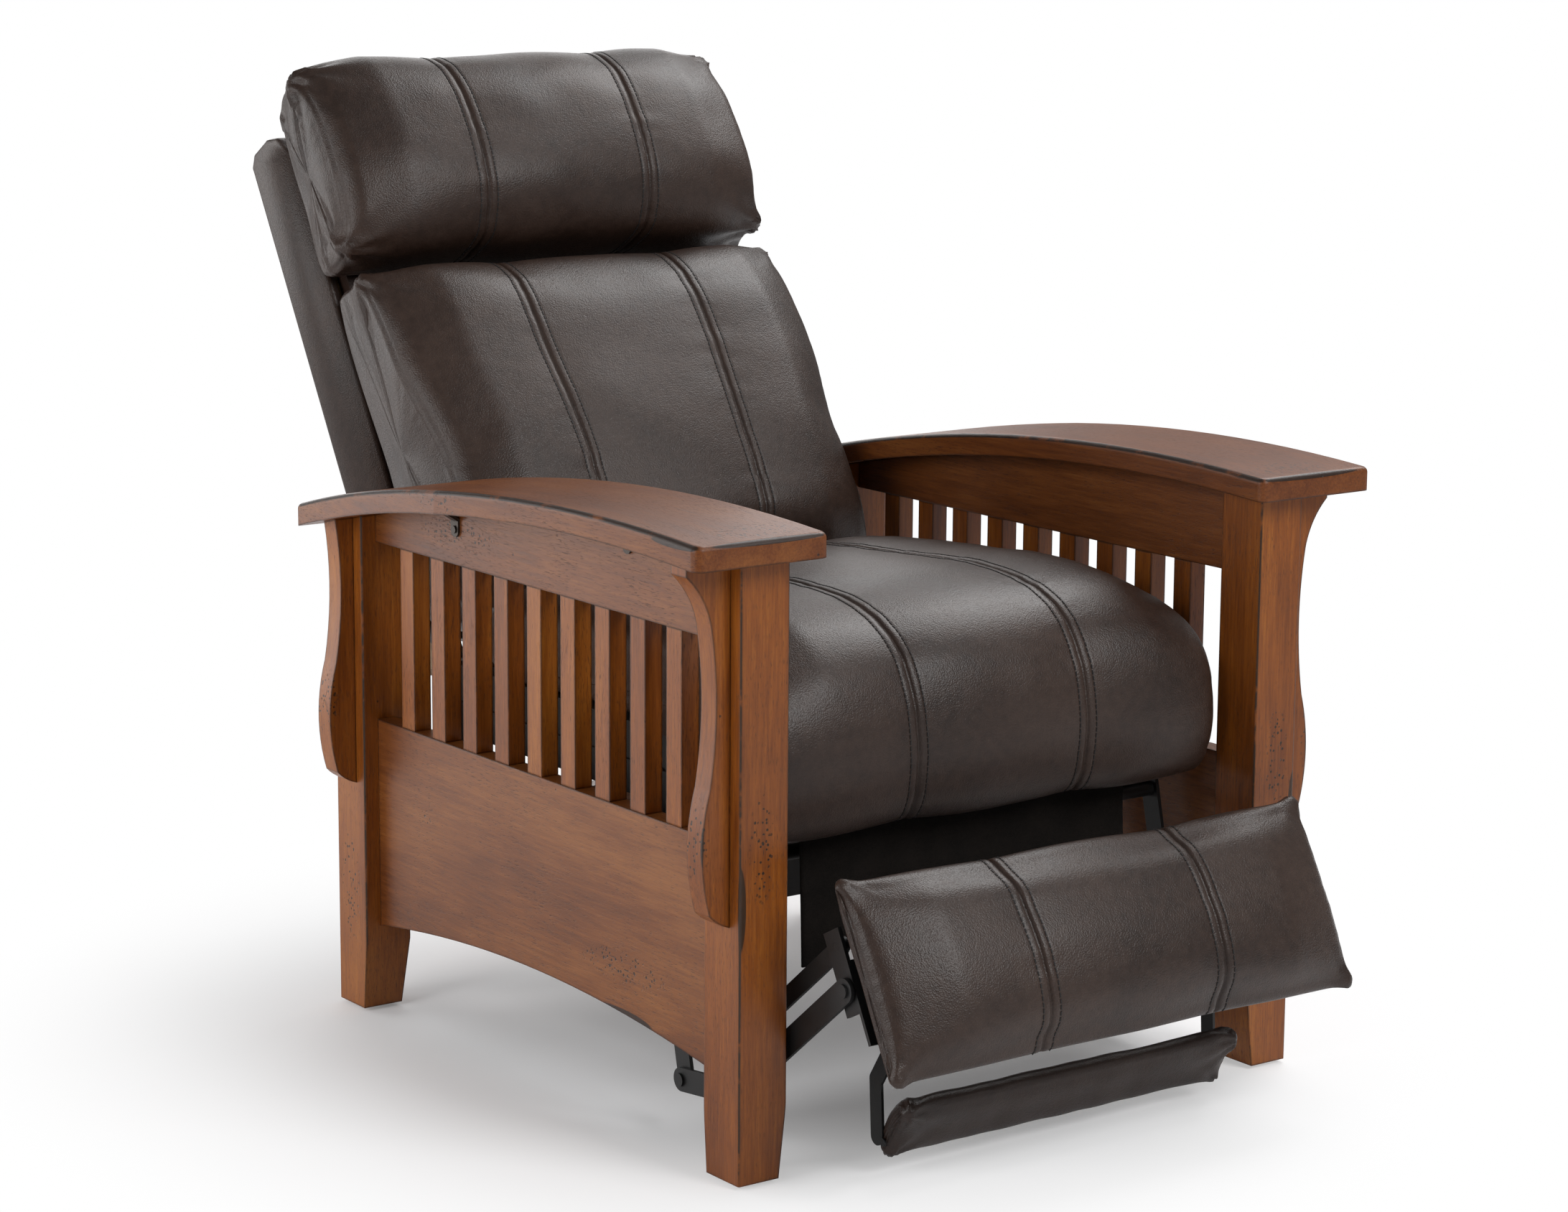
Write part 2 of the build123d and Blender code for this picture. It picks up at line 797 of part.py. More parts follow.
runner_inner = rail_inner - track_wall - screw_head_height - runner_clearance - runner_width
runners, axles = [], []
for y in (runner_front_y, runner_back_y):
    at = (y, track_middle)
    runner = block(
        runner_inner,
        runner_inner + runner_width,
        y - runner_length / 2,
        y + runner_length / 2,
        track_middle - runner_height / 2,
        track_middle + runner_height / 2,
    )
    runner = fillet(runner.edges().filter_by(Axis.X), runner_height / 6)
    fit = runner_axle_diameter + 2 * running_clearance
    runners.append(runner - rod(at, runner_inner - cut_overrun, rail_inner, fit))
    axle = rod(at, seat_plate_inner, runner_inner + runner_width, runner_axle_diameter)
    axle += rod(at, seat_plate_outer, runner_inner, runner_axle_diameter * 1.5)
    axles.append(axle)
keep("seat_runners", *pair(*runners))
keep("runner_axles", *pair(*axles))

# Pivots of the footrest linkage, as (y, z) points
front_pivot = (front_pivot_y, front_pivot_height)
rear_pivot = (front_pivot_y + pivot_pair_spacing, front_pivot_height - pivot_pair_drop)
knee = (knee_y, knee_height)
rear_knee = (knee_y + pivot_pair_spacing, knee_height - pivot_pair_drop)
lean = math.radians(pad_lean)


def on_pad(up, out):
    # a point of the footrest pad: up along it from its lower edge and out of its face
    return (
        pad_foot_y + up * math.sin(lean) - out * math.cos(lean),
        pad_foot_height + up * math.cos(lean) + out * math.sin(lean),
    )


pad_pivot = on_pad(pad_pivot_height, -pad_pivot_behind)
control_pad = on_pad(pad_pivot_height + control_crank, -pad_pivot_behind)
control_knee = (knee[0] + control_pad[0] - pad_pivot[0], knee[1] + control_pad[1] - pad_pivot[1])
flipper_hinge = on_pad(flipper_hinge_height, -flipper_hinge_behind)
back_pivot = (back_pivot_y, back_pivot_height)

# Seat frame
seat_rail_base = seat_rail_top - seat_rail_height
seat_rail_inner = seat_side - seat_rail_thickness
seat_side_rail = block(seat_rail_inner, seat_side, seat_front_rail_y, seat_back_y, seat_rail_base, seat_rail_top)


def seat_cross_rail(y0):
    y1 = y0 + seat_front_rail_thickness
    return block(-seat_rail_inner, seat_rail_inner, y0, y1, seat_rail_base, seat_rail_top)



plate_top = seat_rail_base + seat_plate_lap
plate_bolts_at = [(seat_plate_front_y + link_width, seat_rail_base + seat_plate_lap / 2)]
plate_bolts_at.append((runner_front_y, plate_bolts_at[0][1]))
plate_bolts_at.append((runner_back_y - 2 * link_width, plate_bolts_at[0][1]))


def seat_plate():
    # a long steel plate with two front ears for the swing bars and two legs down to the runners
    body = block(
        seat_plate_inner,
        seat_plate_outer,
        seat_plate_front_y,
        seat_plate_back_y + runner_leg_width / 2,
        seat_rail_base,
        plate_top,
    )
    for point in (front_pivot, rear_pivot):
        ear = slot(point, (point[0], plate_top - link_width / 2), link_width + plate_thickness)
        body += side_plate(ear, seat_plate_inner, seat_plate_outer)
    for y in (runner_front_y, runner_back_y):
        leg = slot((y, track_middle), (y, plate_top - runner_leg_width / 2), runner_leg_width)
        body += side_plate(leg, seat_plate_inner, seat_plate_outer)
    for point in (front_pivot, rear_pivot):
        body -= pivot_hole(point, seat_plate_inner, seat_plate_outer)
    for y in (runner_front_y, runner_back_y):
        fit = runner_axle_diameter + 2 * running_clearance
        body -= rod((y, track_middle), seat_plate_inner - cut_overrun, seat_plate_outer + cut_overrun, fit)
    for point in plate_bolts_at:
        fit = bolt_diameter + 2 * fixed_clearance
        body -= rod(point, seat_plate_inner - cut_overrun, seat_plate_outer + cut_overrun, fit)
    return body


keep("seat_plates", *pair(seat_plate()))
plate_bolts, side_rail_holes = [], []
for point in plate_bolts_at:
    bolt = rod(point, seat_rail_inner - bolt_head_height, seat_plate_outer, bolt_diameter)
    bolt += rod(point, seat_rail_inner - bolt_head_height, seat_rail_inner, bolt_head_diameter)
    plate_bolts.append(bolt)
    side_rail_holes.append(
        rod(point, seat_rail_inner - cut_overrun, seat_side + cut_overrun, bolt_diameter + 2 * fixed_clearance)
    )
keep("seat_plate_bolts", *pair(*plate_bolts))
keep("seat_side_rails", *pair(hollow(seat_side_rail, *side_rail_holes)))

keep(
    "seat_pivot_rivets",
    *pair(
        *[
            riveted(p, seat_plate_inner, swing_outer, collar=(seat_plate_outer, swing_inner))
            for p in (front_pivot, rear_pivot)
        ]
    ),
)

# Hinge of the back on the seat frame
hinge_plate_outer = seat_rail_inner
hinge_plate_inner = hinge_plate_outer - plate_thickness
hinge_arm_outer = hinge_plate_inner - hinge_side_gap
back_frame_half = hinge_arm_outer - plate_thickness
hinge_root = (seat_back_y - seat_front_rail_thickness - hinge_arm_width, (seat_rail_base + seat_rail_top) / 2)
hinge_fit = hinge_pin_diameter + 2 * running_clearance
hinge_plate = side_plate(slot(hinge_root, back_pivot, hinge_arm_width), hinge_plate_inner, hinge_plate_outer)
hinge_plate -= rod(back_pivot, hinge_plate_inner - cut_overrun, hinge_plate_outer + cut_overrun, hinge_fit)
rear_rail_notch = block(
    hinge_plate_inner - layer_gap,
    hinge_plate_outer + cut_overrun,
    seat_back_y - seat_front_rail_thickness - cut_overrun,
    seat_back_y + cut_overrun,
    seat_rail_base - cut_overrun,
    seat_rail_top + cut_overrun,
)
rear_rail = seat_cross_rail(seat_back_y - seat_front_rail_thickness)
keep("seat_cross_rails", seat_cross_rail(seat_front_rail_y), hollow(rear_rail, *pair(rear_rail_notch)))
keep("back_hinge_plates", *pair(hinge_plate))
hinge_pin = rod(back_pivot, back_frame_half - layer_gap, hinge_plate_outer + pivot_head_height, hinge_pin_diameter)
hinge_pin += rod(back_pivot, hinge_plate_outer, hinge_plate_outer + pivot_head_height, hinge_pin_diameter * 1.5)
hinge_pin += rod(back_pivot, hinge_arm_outer, hinge_plate_inner, hinge_pin_diameter * 1.5)
keep("back_hinge_pins", *pair(hinge_pin))


# Sinuous springs: a wire bent to and fro, laid from rail to rail
def sinuous(start_y, end_y):
    room = end_y - start_y - 2 * spring_tail
    bends = 2 * round(room / (2 * spring_loop))
    step = room / bends
    points = [(0, start_y), (0, start_y + spring_tail)]
    for i in range(bends):
        side = spring_half_width if i % 2 == 0 else -spring_half_width
        y = start_y + spring_tail + i * step
        points += [(side, y), (side, y + step)]
    points += [(0, end_y - spring_tail), (0, end_y)]
    path = FilletPolyline(*points, radius=step * spring_bend_share)
    section = Plane(origin=(0, start_y, 0), z_dir=(0, 1, 0)) * Circle(spring_wire / 2)
    return sweep(section, path=path)


def spring_places(count, pitch):
    return [(i - (count - 1) / 2) * pitch for i in range(count)]


seat_spring_z = seat_rail_top + spring_wire / 2
seat_spring_start = seat_front_rail_y + spring_rest
seat_spring = sinuous(seat_spring_start, seat_back_y - spring_rest)
keep("seat_springs", *[Pos(x, 0, seat_spring_z) * seat_spring for x in spring_places(spring_count, spring_pitch)])


def spring_clip(x, y, z):
    # a bent strip over the wire's end, with its two feet on the rail
    half = spring_clip_width / 2
    top = z + spring_wire + spring_clip_thickness
    clip = block(x - half, x + half, y, y + spring_clip_length, z, top)
    inner = spring_wire / 2 + running_clearance
    tunnel = block(x - inner, x + inner, y - cut_overrun, y + spring_clip_length + cut_overrun, z, top - spring_clip_thickness)
    for side in (-1, 1):
        low, high = sorted((x + side * (inner + spring_clip_thickness), x + side * (half + cut_overrun)))
        clip -= block(low, high, y - cut_overrun, y + spring_clip_length + cut_overrun, z + spring_clip_thickness, top + cut_overrun)
    return clip - tunnel


clips = []
for x in spring_places(spring_count, spring_pitch):
    clips.append(spring_clip(x, seat_spring_start + running_clearance, seat_rail_top))
    clips.append(spring_clip(x, seat_back_y - spring_rest - spring_clip_length - running_clearance, seat_rail_top))
keep("seat_spring_clips", *clips)


# Seat cushion, with a deep roll down over the front rail
seat_cushion_base = seat_rail_top + spring_wire + spring_clip_thickness + soft_clearance
seat_roll_back_y = seat_cushion_front_y + seat_roll_depth


def seat_ring(edge, inset):
    depth = seat_cushion_back_y - seat_cushion_front_y
    height = seat_cushion_top - seat_roll_base
    points = []
    for back, up in seat_profile_shares:
        drop = seat_crown_drop * edge * max(0, 2 * up - 1)
        points.append((seat_cushion_front_y + back * depth, seat_roll_base + up * height - drop))
    r = seat_roll_fillet
    rear = seat_roll_back_y
    points += [
        ((points[-1][0] + rear - r) / 2, seat_roll_base),
        (rear - r, seat_roll_base),
        (rear - r * (1 - diagonal_share), seat_roll_base + r * (1 - diagonal_share)),
        (rear, seat_roll_base + r),
        (rear, (seat_roll_base + seat_cushion_base) / 2),
        (rear, seat_cushion_base - r),
        (rear + r * (1 - diagonal_share), seat_cushion_base - r * (1 - diagonal_share)),
        (rear + r, seat_cushion_base),
        ((rear + r + points[0][0]) / 2, seat_cushion_base),
    ]
    points[0] = (points[0][0], seat_cushion_base)
    return drawn_in(points, inset)


keep("seat_cushion", lofted(cushion_sections(seat_half_width, seat_panel_half, seat_ring)))


# Felt apron hung from the underside of the front rail, its hem curving down to a corner at each end
def apron():
    top = seat_rail_base
    low, corner = top - apron_middle_drop, top - apron_corner_drop
    curve_x = apron_half_width - apron_corner_width - apron_curve_width
    inner_x = apron_half_width - apron_corner_width
    bend = (inner_x - apron_curve_width * (1 - diagonal_share), low - (low - corner) * (1 - diagonal_share))
    right = [
        Line((0, low), (curve_x, low)),
        ThreePointArc((curve_x, low), bend, (inner_x, corner)),
        Line((inner_x, corner), (apron_half_width, corner)),
        Line((apron_half_width, corner), (apron_half_width, top)),
        Line((apron_half_width, top), (0, top)),
        Line((0, top), (0, low)),
    ]
    half = front_plate(make_face(right), seat_front_rail_y, seat_front_rail_y + apron_thickness)
    return half + mirror(half, about=Plane.YZ)


keep("felt_apron", apron())

# Footrest linkage: two swing bars a side, a carrier, a control link, and the pad's brackets
swing_tube_at = along(front_pivot, knee, swing_tube_from_pivot)
bar = slot(front_pivot, knee, link_width) + slot(knee, control_knee, link_width)
front_bar = side_plate(bar, swing_inner, swing_outer)
for point in (front_pivot, knee, control_knee):
    front_bar -= pivot_hole(point, swing_inner, swing_outer)
keep("front_swing_bars", *pair(front_bar))
tube = rod(swing_tube_at, -swing_inner, swing_inner, swing_tube_diameter)
bore_diameter = swing_tube_diameter - 2 * swing_tube_wall
keep("swing_cross_tube", tube - rod(swing_tube_at, -frame_half, frame_half, bore_diameter))
rear_bar = side_plate(slot(rear_pivot, rear_knee, link_width), swing_inner, swing_outer)
for point in (rear_pivot, rear_knee):
    rear_bar -= pivot_hole(point, swing_inner, swing_outer)
keep("rear_swing_bars", *pair(rear_bar))

carrier_face = slot(rear_knee, knee, link_width) + slot(knee, pad_pivot, link_width)
carrier = side_plate(carrier_face, carrier_inner, carrier_outer)
for point in (rear_knee, knee, pad_pivot):
    carrier -= pivot_hole(point, carrier_inner, carrier_outer)
keep("footrest_carriers", *pair(carrier))
control = side_plate(slot(control_knee, control_pad, control_link_width), seat_plate_inner, seat_plate_outer)
for point in (control_knee, control_pad):
    control -= pivot_hole(point, seat_plate_inner, seat_plate_outer)
keep("control_links", *pair(control))

outer_collar = (swing_outer, carrier_inner)
inner_collar = (seat_plate_outer, swing_inner)
knee_rivets = [
    riveted(knee, swing_inner, carrier_outer, collar=outer_collar),
    riveted(control_knee, seat_plate_inner, swing_outer, outer_head=False, collar=inner_collar),
]
keep("swing_knee_rivets", *pair(*knee_rivets))
keep("rear_knee_rivets", *pair(riveted(rear_knee, swing_inner, carrier_outer, collar=outer_collar)))
pad_rivets = [
    riveted(pad_pivot, swing_inner, carrier_outer, collar=outer_collar),
    riveted(control_pad, seat_plate_inner, swing_outer, outer_head=False, collar=inner_collar),
]
keep("footrest_rivets", *pair(*pad_rivets))

# Footrest pad, board and brackets, drawn upright and then leant back
pad_place = Pos(0, pad_foot_y, pad_foot_height) * Rot(90 - pad_lean, 0, 0)


def placed(place, solids):
    return [place * solid for solid in solids]


def pad_ring(edge, inset):
    points = []
    for up, out in pad_profile_shares:
        shrink = 1 - pad_end_share * edge if out > 0 else 1
        points.append((up * pad_length, out * pad_crown * shrink))
    return drawn_in(points, inset * pad_inset_share)


pad_front = -pad_back
board_back = pad_front - footboard_thickness
keep("footrest_pad", *placed(pad_place, [lofted(cushion_sections(pad_half_width, pad_panel_half, pad_ring))]))
board = block(
    -footboard_half_width,
    footboard_half_width,
    footboard_margin,
    pad_length - footboard_margin,
    board_back,
    pad_front - soft_clearance,
)
flange_back = board_back - plate_thickness


def footrest_bracket():
    # an angle: a plate with the two pivots and a flange on the back of the board
    plate = block(
        swing_inner, swing_outer, footrest_bracket_low, footrest_bracket_high, -footrest_bracket_rear, board_back
    )
    flange = block(
        footrest_flange_inner, swing_outer, footrest_flange_low, footrest_flange_high, flange_back, board_back
    )
    for up in (pad_pivot_height, pad_pivot_height + control_crank):
        plate -= pivot_hole((up, -pad_pivot_behind), swing_inner, swing_outer)
    return plate + flange


def flat_screw(x, up, length):
    # a screw through a flange into the board, its head behind the flange
    return screw(flange_back, flange_back - screw_head_height, "z", (x, up), flange_back + length)


def flat_hole(x, up, length):
    hole = Cylinder((screw_shank_diameter + screw_clearance) / 2, length + cut_overrun)
    return Pos(x, up, flange_back + (length - cut_overrun) / 2) * hole


screw_ups = (footrest_flange_low + bolt_head_diameter, footrest_flange_high - bolt_head_diameter)
flange_x = (footrest_flange_inner + footboard_half_width) / 2
lug_inner = flipper_half_length + flipper_arm_thickness + flipper_lug_gap
lug_outer = lug_inner + flipper_arm_thickness
lug_screw_x = lug_outer + (flipper_lug_flange - flipper_arm_thickness) / 2
pad_screws_at = [(flange_x, up) for up in screw_ups] + [(lug_screw_x, flipper_hinge_height)]
pad_holes = []
for x, up in pad_screws_at:
    pad_holes += pair(flat_hole(x, up, footrest_screw_length))
hinge_at = (flipper_hinge_height, -flipper_hinge_behind)
flipper_fit = flipper_pin_diameter + 2 * running_clearance


def flipper_lug():
    low, high = flipper_hinge_height - flipper_lug_width / 2, flipper_hinge_height + flipper_lug_width / 2
    plate = side_plate(
        slot(hinge_at, (flipper_hinge_height, board_back - flipper_lug_width / 2), flipper_lug_width), lug_inner, lug_outer
    )
    flange = block(lug_inner, lug_inner + flipper_lug_flange, low, high, flange_back, board_back)
    return hollow(plate + flange, rod(hinge_at, lug_inner - cut_overrun, lug_outer + cut_overrun, flipper_fit))


keep("footrest_brackets", *placed(pad_place, pair(hollow(footrest_bracket(), *pad_holes))))
lugs = placed(pad_place, pair(flipper_lug()))
keep("flipper_lugs", *[hollow(lug, *placed(pad_place, pad_holes)) for lug in lugs])
keep("footrest_board", *placed(pad_place, [hollow(board, *pad_holes)]))
screws = [flat_screw(x, up, footrest_screw_length) for x, up in pad_screws_at]
keep("footrest_screws", *placed(pad_place, pair(*screws)))

# Flipper board, drawn unfolded below the pad and then folded back about its hinge
flipper_place = pad_place * Pos(0, *hinge_at) * Rot(flipper_fold, 0, 0) * Pos(0, -hinge_at[0], -hinge_at[1])
flipper_top = -flipper_gap
flipper_out = flipper_thickness / 2 - flipper_behind
flipper = block(
    -flipper_half_length,
    flipper_half_length,
    flipper_top - flipper_height,
    flipper_top,
    flipper_out - flipper_thickness,
    flipper_out,
)
flipper = fillet(flipper.edges().filter_by(Axis.X), flipper_corner_round)
elbow = (-flipper_arm_elbow, -flipper_hinge_behind)
reach = (-flipper_arm_reach, -flipper_arm_behind)
arm_face = slot(hinge_at, elbow, flipper_arm_width) + slot(elbow, reach, flipper_arm_width)
arm_outer_x = flipper_half_length + flipper_arm_thickness
flipper_arm = side_plate(arm_face, flipper_half_length, arm_outer_x)
flipper_arm -= rod(hinge_at, flipper_half_length - cut_overrun, arm_outer_x + cut_overrun, flipper_fit)
flipper_screw_at = along(reach, elbow, flipper_arm_width / 4)
flipper_screw_at = (flipper_screw_at[0], flipper_out - flipper_thickness / 2)
fit = screw_shank_diameter + screw_clearance
flipper_hole = rod(flipper_screw_at, arm_outer_x - screw_length, arm_outer_x + cut_overrun, fit)
keep("flipper_board", *placed(flipper_place, [hollow(flipper, *pair(flipper_hole))]))
keep("flipper_arms", *placed(flipper_place, pair(flipper_arm - flipper_hole)))
flipper_screw = screw(arm_outer_x, arm_outer_x + screw_head_height, "x", flipper_screw_at, arm_outer_x - screw_length)
keep("flipper_screws", *placed(flipper_place, pair(flipper_screw)))
flipper_pin = rod(hinge_at, flipper_half_length, lug_outer, flipper_pin_diameter)
flipper_pin += rod(hinge_at, lug_outer, lug_outer + flipper_pin_head_height, flipper_pin_head)
flipper_pin += rod(hinge_at, flipper_half_length - flipper_pin_head_height, flipper_half_length, flipper_pin_head)
flipper_pin += rod(hinge_at, arm_outer_x, lug_inner, flipper_pin_head)
keep("flipper_pins", *placed(pad_place, pair(flipper_pin)))

# Back, drawn flat with Y up its length and Z out of its front, and then leant back
back_place = Pos(0, back_foot_y, back_foot_height) * Rot(90 - back_lean, 0, 0)
post_front = -back_deck_thickness - spring_wire - spring_clip_thickness
post_rear = post_front - back_post_depth
frame_top = back_top - shell_panel_thickness
post_inner_x = back_frame_half - back_post_thickness
back_post = block(post_inner_x, back_frame_half, -back_post_low, frame_top, post_rear, post_front)
keep("back_posts", *placed(back_place, pair(back_post)))
back_rails = []
for low in (-shell_low, back_middle_rail, frame_top - back_rail_height):
    rail = block(-post_inner_x, post_inner_x, low, low + back_rail_height, post_front - back_rail_thickness, post_front)
    back_rails.append(rail)
keep("back_rails", *placed(back_place, back_rails))


# Steel arms that hang the back on its hinge pins
lean_back = math.radians(back_lean)


def on_back(point):
    # a (y, z) point of the chair, as (up, out) in the drawn back
    y, z = point[0] - back_foot_y, point[1] - back_foot_height
    return (
        y * math.sin(lean_back) + z * math.cos(lean_back),
        -y * math.cos(lean_back) + z * math.sin(lean_back),
    )


hinge_high = (-hinge_arm_high, -hinge_arm_behind)
back_arm_face = slot(on_back(back_pivot), hinge_high, hinge_arm_width)
back_arm = side_plate(back_arm_face, back_frame_half, hinge_arm_outer)
back_arm -= rod(on_back(back_pivot), back_frame_half - cut_overrun, hinge_arm_outer + cut_overrun, hinge_fit)
keep("back_hinge_arms", *placed(back_place, pair(back_arm)))
pocket_face = slot(on_back(back_pivot), hinge_high, hinge_arm_width + 2 * layer_gap)
arm_pocket = side_plate(pocket_face, back_frame_half - cut_overrun, hinge_arm_outer + layer_gap)


def back_shell():
    # upholstered side panels, rear panel and rounded top, open at the front and underneath
    front, rear = -back_front, -back_rear
    face = make_face(
        [
            Line((-shell_low, front), (-shell_low, rear)),
            Line((-shell_low, rear), (back_top - shell_top_round, -back_rear_top)),
            ThreePointArc(
                (back_top - shell_top_round, -back_rear_top),
                (
                    back_top - shell_top_round * (1 - diagonal_share),
                    -back_rear_top + shell_top_round * (1 - diagonal_share),
                ),
                (back_top, -back_rear_top + shell_top_round),
            ),
            Line((back_top, -back_rear_top + shell_top_round), (back_top, -back_top_front)),
            ThreePointArc(
                (back_top, -back_top_front),
                (
                    back_top - back_top_bevel * (1 - diagonal_share),
                    -back_top_front + (back_top_front - back_front) * diagonal_share,
                ),
                (back_top - back_top_bevel, front),
            ),
            Line((back_top - back_top_bevel, front), (-shell_low, front)),
        ]
    )
    half = back_frame_half + shell_side_thickness
    outer = side_plate(face, -half, half)
    rear_edges = [e for e in outer.edges() if e.length > back_top and abs(e.center().X) > back_frame_half]
    rear_edges = [e for e in rear_edges if e.center().Z < -back_rear_top]
    outer = fillet(rear_edges, shell_corner_round)
    room = block(
        -back_frame_half, back_frame_half, -shell_low - cut_overrun, frame_top, post_rear, cut_overrun
    )
    return hollow(outer, room, *pair(arm_pocket))


keep("back_shell", *placed(back_place, [back_shell()]))
deck_top = back_top - back_top_bevel - soft_clearance
deck = block(-back_frame_half, back_frame_half, -shell_low, deck_top, -back_deck_thickness, 0)
keep("back_deck", *placed(back_place, [deck]))

back_spring_z = post_front + spring_wire / 2
back_spring = sinuous(spring_rest - shell_low, back_top - shell_panel_thickness - spring_rest)
back_springs, clips = [], []
for x in spring_places(back_spring_count, back_spring_pitch):
    back_springs.append(Pos(x, 0, back_spring_z) * back_spring)
    clips.append(spring_clip(x, spring_rest - shell_low + running_clearance, post_front))
    top_clip_y = frame_top - spring_rest - spring_clip_length - running_clearance
    clips.append(spring_clip(x, top_clip_y, post_front))
keep("back_springs", *placed(back_place, back_springs))
keep("back_spring_clips", *placed(back_place, clips))


def back_ring(edge, inset):
    points = []
    for up, out in back_profile_shares:
        lift = soft_clearance
        points.append((up * back_cushion_length - back_cushion_low, lift + out * back_cushion_swell * (1 - back_end_share * edge)))
    return drawn_in(points, inset)


keep("back_cushion", *placed(back_place, [lofted(cushion_sections(back_cushion_half, back_panel_half, back_ring))]))


def pillow_ring(edge, inset):
    points = []
    for up, out in pillow_profile_shares:
        drop = pillow_top_drop * edge * max(0, 2 * up - 1)
        place = soft_clearance + out * pillow_swell * (1 - pillow_end_share * edge)
        points.append((pillow_low + up * pillow_length - drop, place))
    return drawn_in(points, inset)


keep("head_pillow", *placed(back_place, [lofted(cushion_sections(pillow_half_width, pillow_panel_half, pillow_ring))]))

# Every piece moved along Y, so that the middle of the chair lies over the origin
shapes = {name: solids[0] if len(solids) == 1 else Compound(children=solids) for name, solids in parts.items()}
boxes = [shape.bounding_box() for shape in shapes.values()]
middle_y = (min(box.min.Y for box in boxes) + max(box.max.Y for box in boxes)) / 2
for name, shape in shapes.items():
    export_step(Pos(0, -middle_y, 0) * shape, f"parts/{name}.step")
print("sizes along Y and Z", 2 * (max(box.max.Y for box in boxes) - middle_y), max(box.max.Z for box in boxes))
for name, point in {
    "front_pivot": front_pivot,
    "rear_pivot": rear_pivot,
    "knee": knee,
    "rear_knee": rear_knee,
    "pad_pivot": pad_pivot,
    "control_knee": control_knee,
    "control_pad": control_pad,
    "flipper_hinge": flipper_hinge,
    "back_pivot": back_pivot,
}.items():
    print(name, round(point[0] - middle_y, 3), round(point[1], 3))
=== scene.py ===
import math

import bmesh
import bpy
import numpy as np
from mathutils import Matrix, Vector, noise


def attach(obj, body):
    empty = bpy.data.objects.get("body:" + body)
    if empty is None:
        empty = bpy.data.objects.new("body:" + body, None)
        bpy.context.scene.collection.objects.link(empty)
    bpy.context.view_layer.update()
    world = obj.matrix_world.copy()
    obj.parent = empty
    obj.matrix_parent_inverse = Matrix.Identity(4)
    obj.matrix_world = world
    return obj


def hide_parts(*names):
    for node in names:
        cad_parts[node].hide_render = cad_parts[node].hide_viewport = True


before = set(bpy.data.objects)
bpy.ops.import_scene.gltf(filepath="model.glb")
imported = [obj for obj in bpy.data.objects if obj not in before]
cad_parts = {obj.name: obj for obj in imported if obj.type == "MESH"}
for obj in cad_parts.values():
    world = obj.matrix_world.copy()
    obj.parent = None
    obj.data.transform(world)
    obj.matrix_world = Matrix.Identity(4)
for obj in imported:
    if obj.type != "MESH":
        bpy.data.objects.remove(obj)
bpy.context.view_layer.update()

print("frame loaded", len(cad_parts), "nodes")

# The chair's own frame: the front posts' faces lie this far in front of the origin
frontFace = 0.462488


# A socket that takes part in arithmetic, so that shader maths reads as plain expressions
class Field:
    def __init__(self, tree, socket):
        self.tree = tree
        self.socket = socket

    def maths(self, operation, *others):
        return self.tree.add("ShaderNodeMath", {"operation": operation}, [self, *others])

    def __add__(self, other):
        return self.maths("ADD", other)

    def __radd__(self, other):
        return self.maths("ADD", other)

    def __sub__(self, other):
        return self.maths("SUBTRACT", other)

    def __rsub__(self, other):
        return self.tree.add("ShaderNodeMath", {"operation": "SUBTRACT"}, [other, self])

    def __mul__(self, other):
        return self.maths("MULTIPLY", other)

    def __rmul__(self, other):
        return self.maths("MULTIPLY", other)

    def above(self, low, high):
        # 0 below low, 1 over high, eased between them
        values = {"Value": self, "From Min": low, "From Max": high}
        return self.tree.add("ShaderNodeMapRange", {"interpolation_type": "SMOOTHSTEP"}, values, "Result")

    def below(self, low, high):
        return 1 - self.above(low, high)


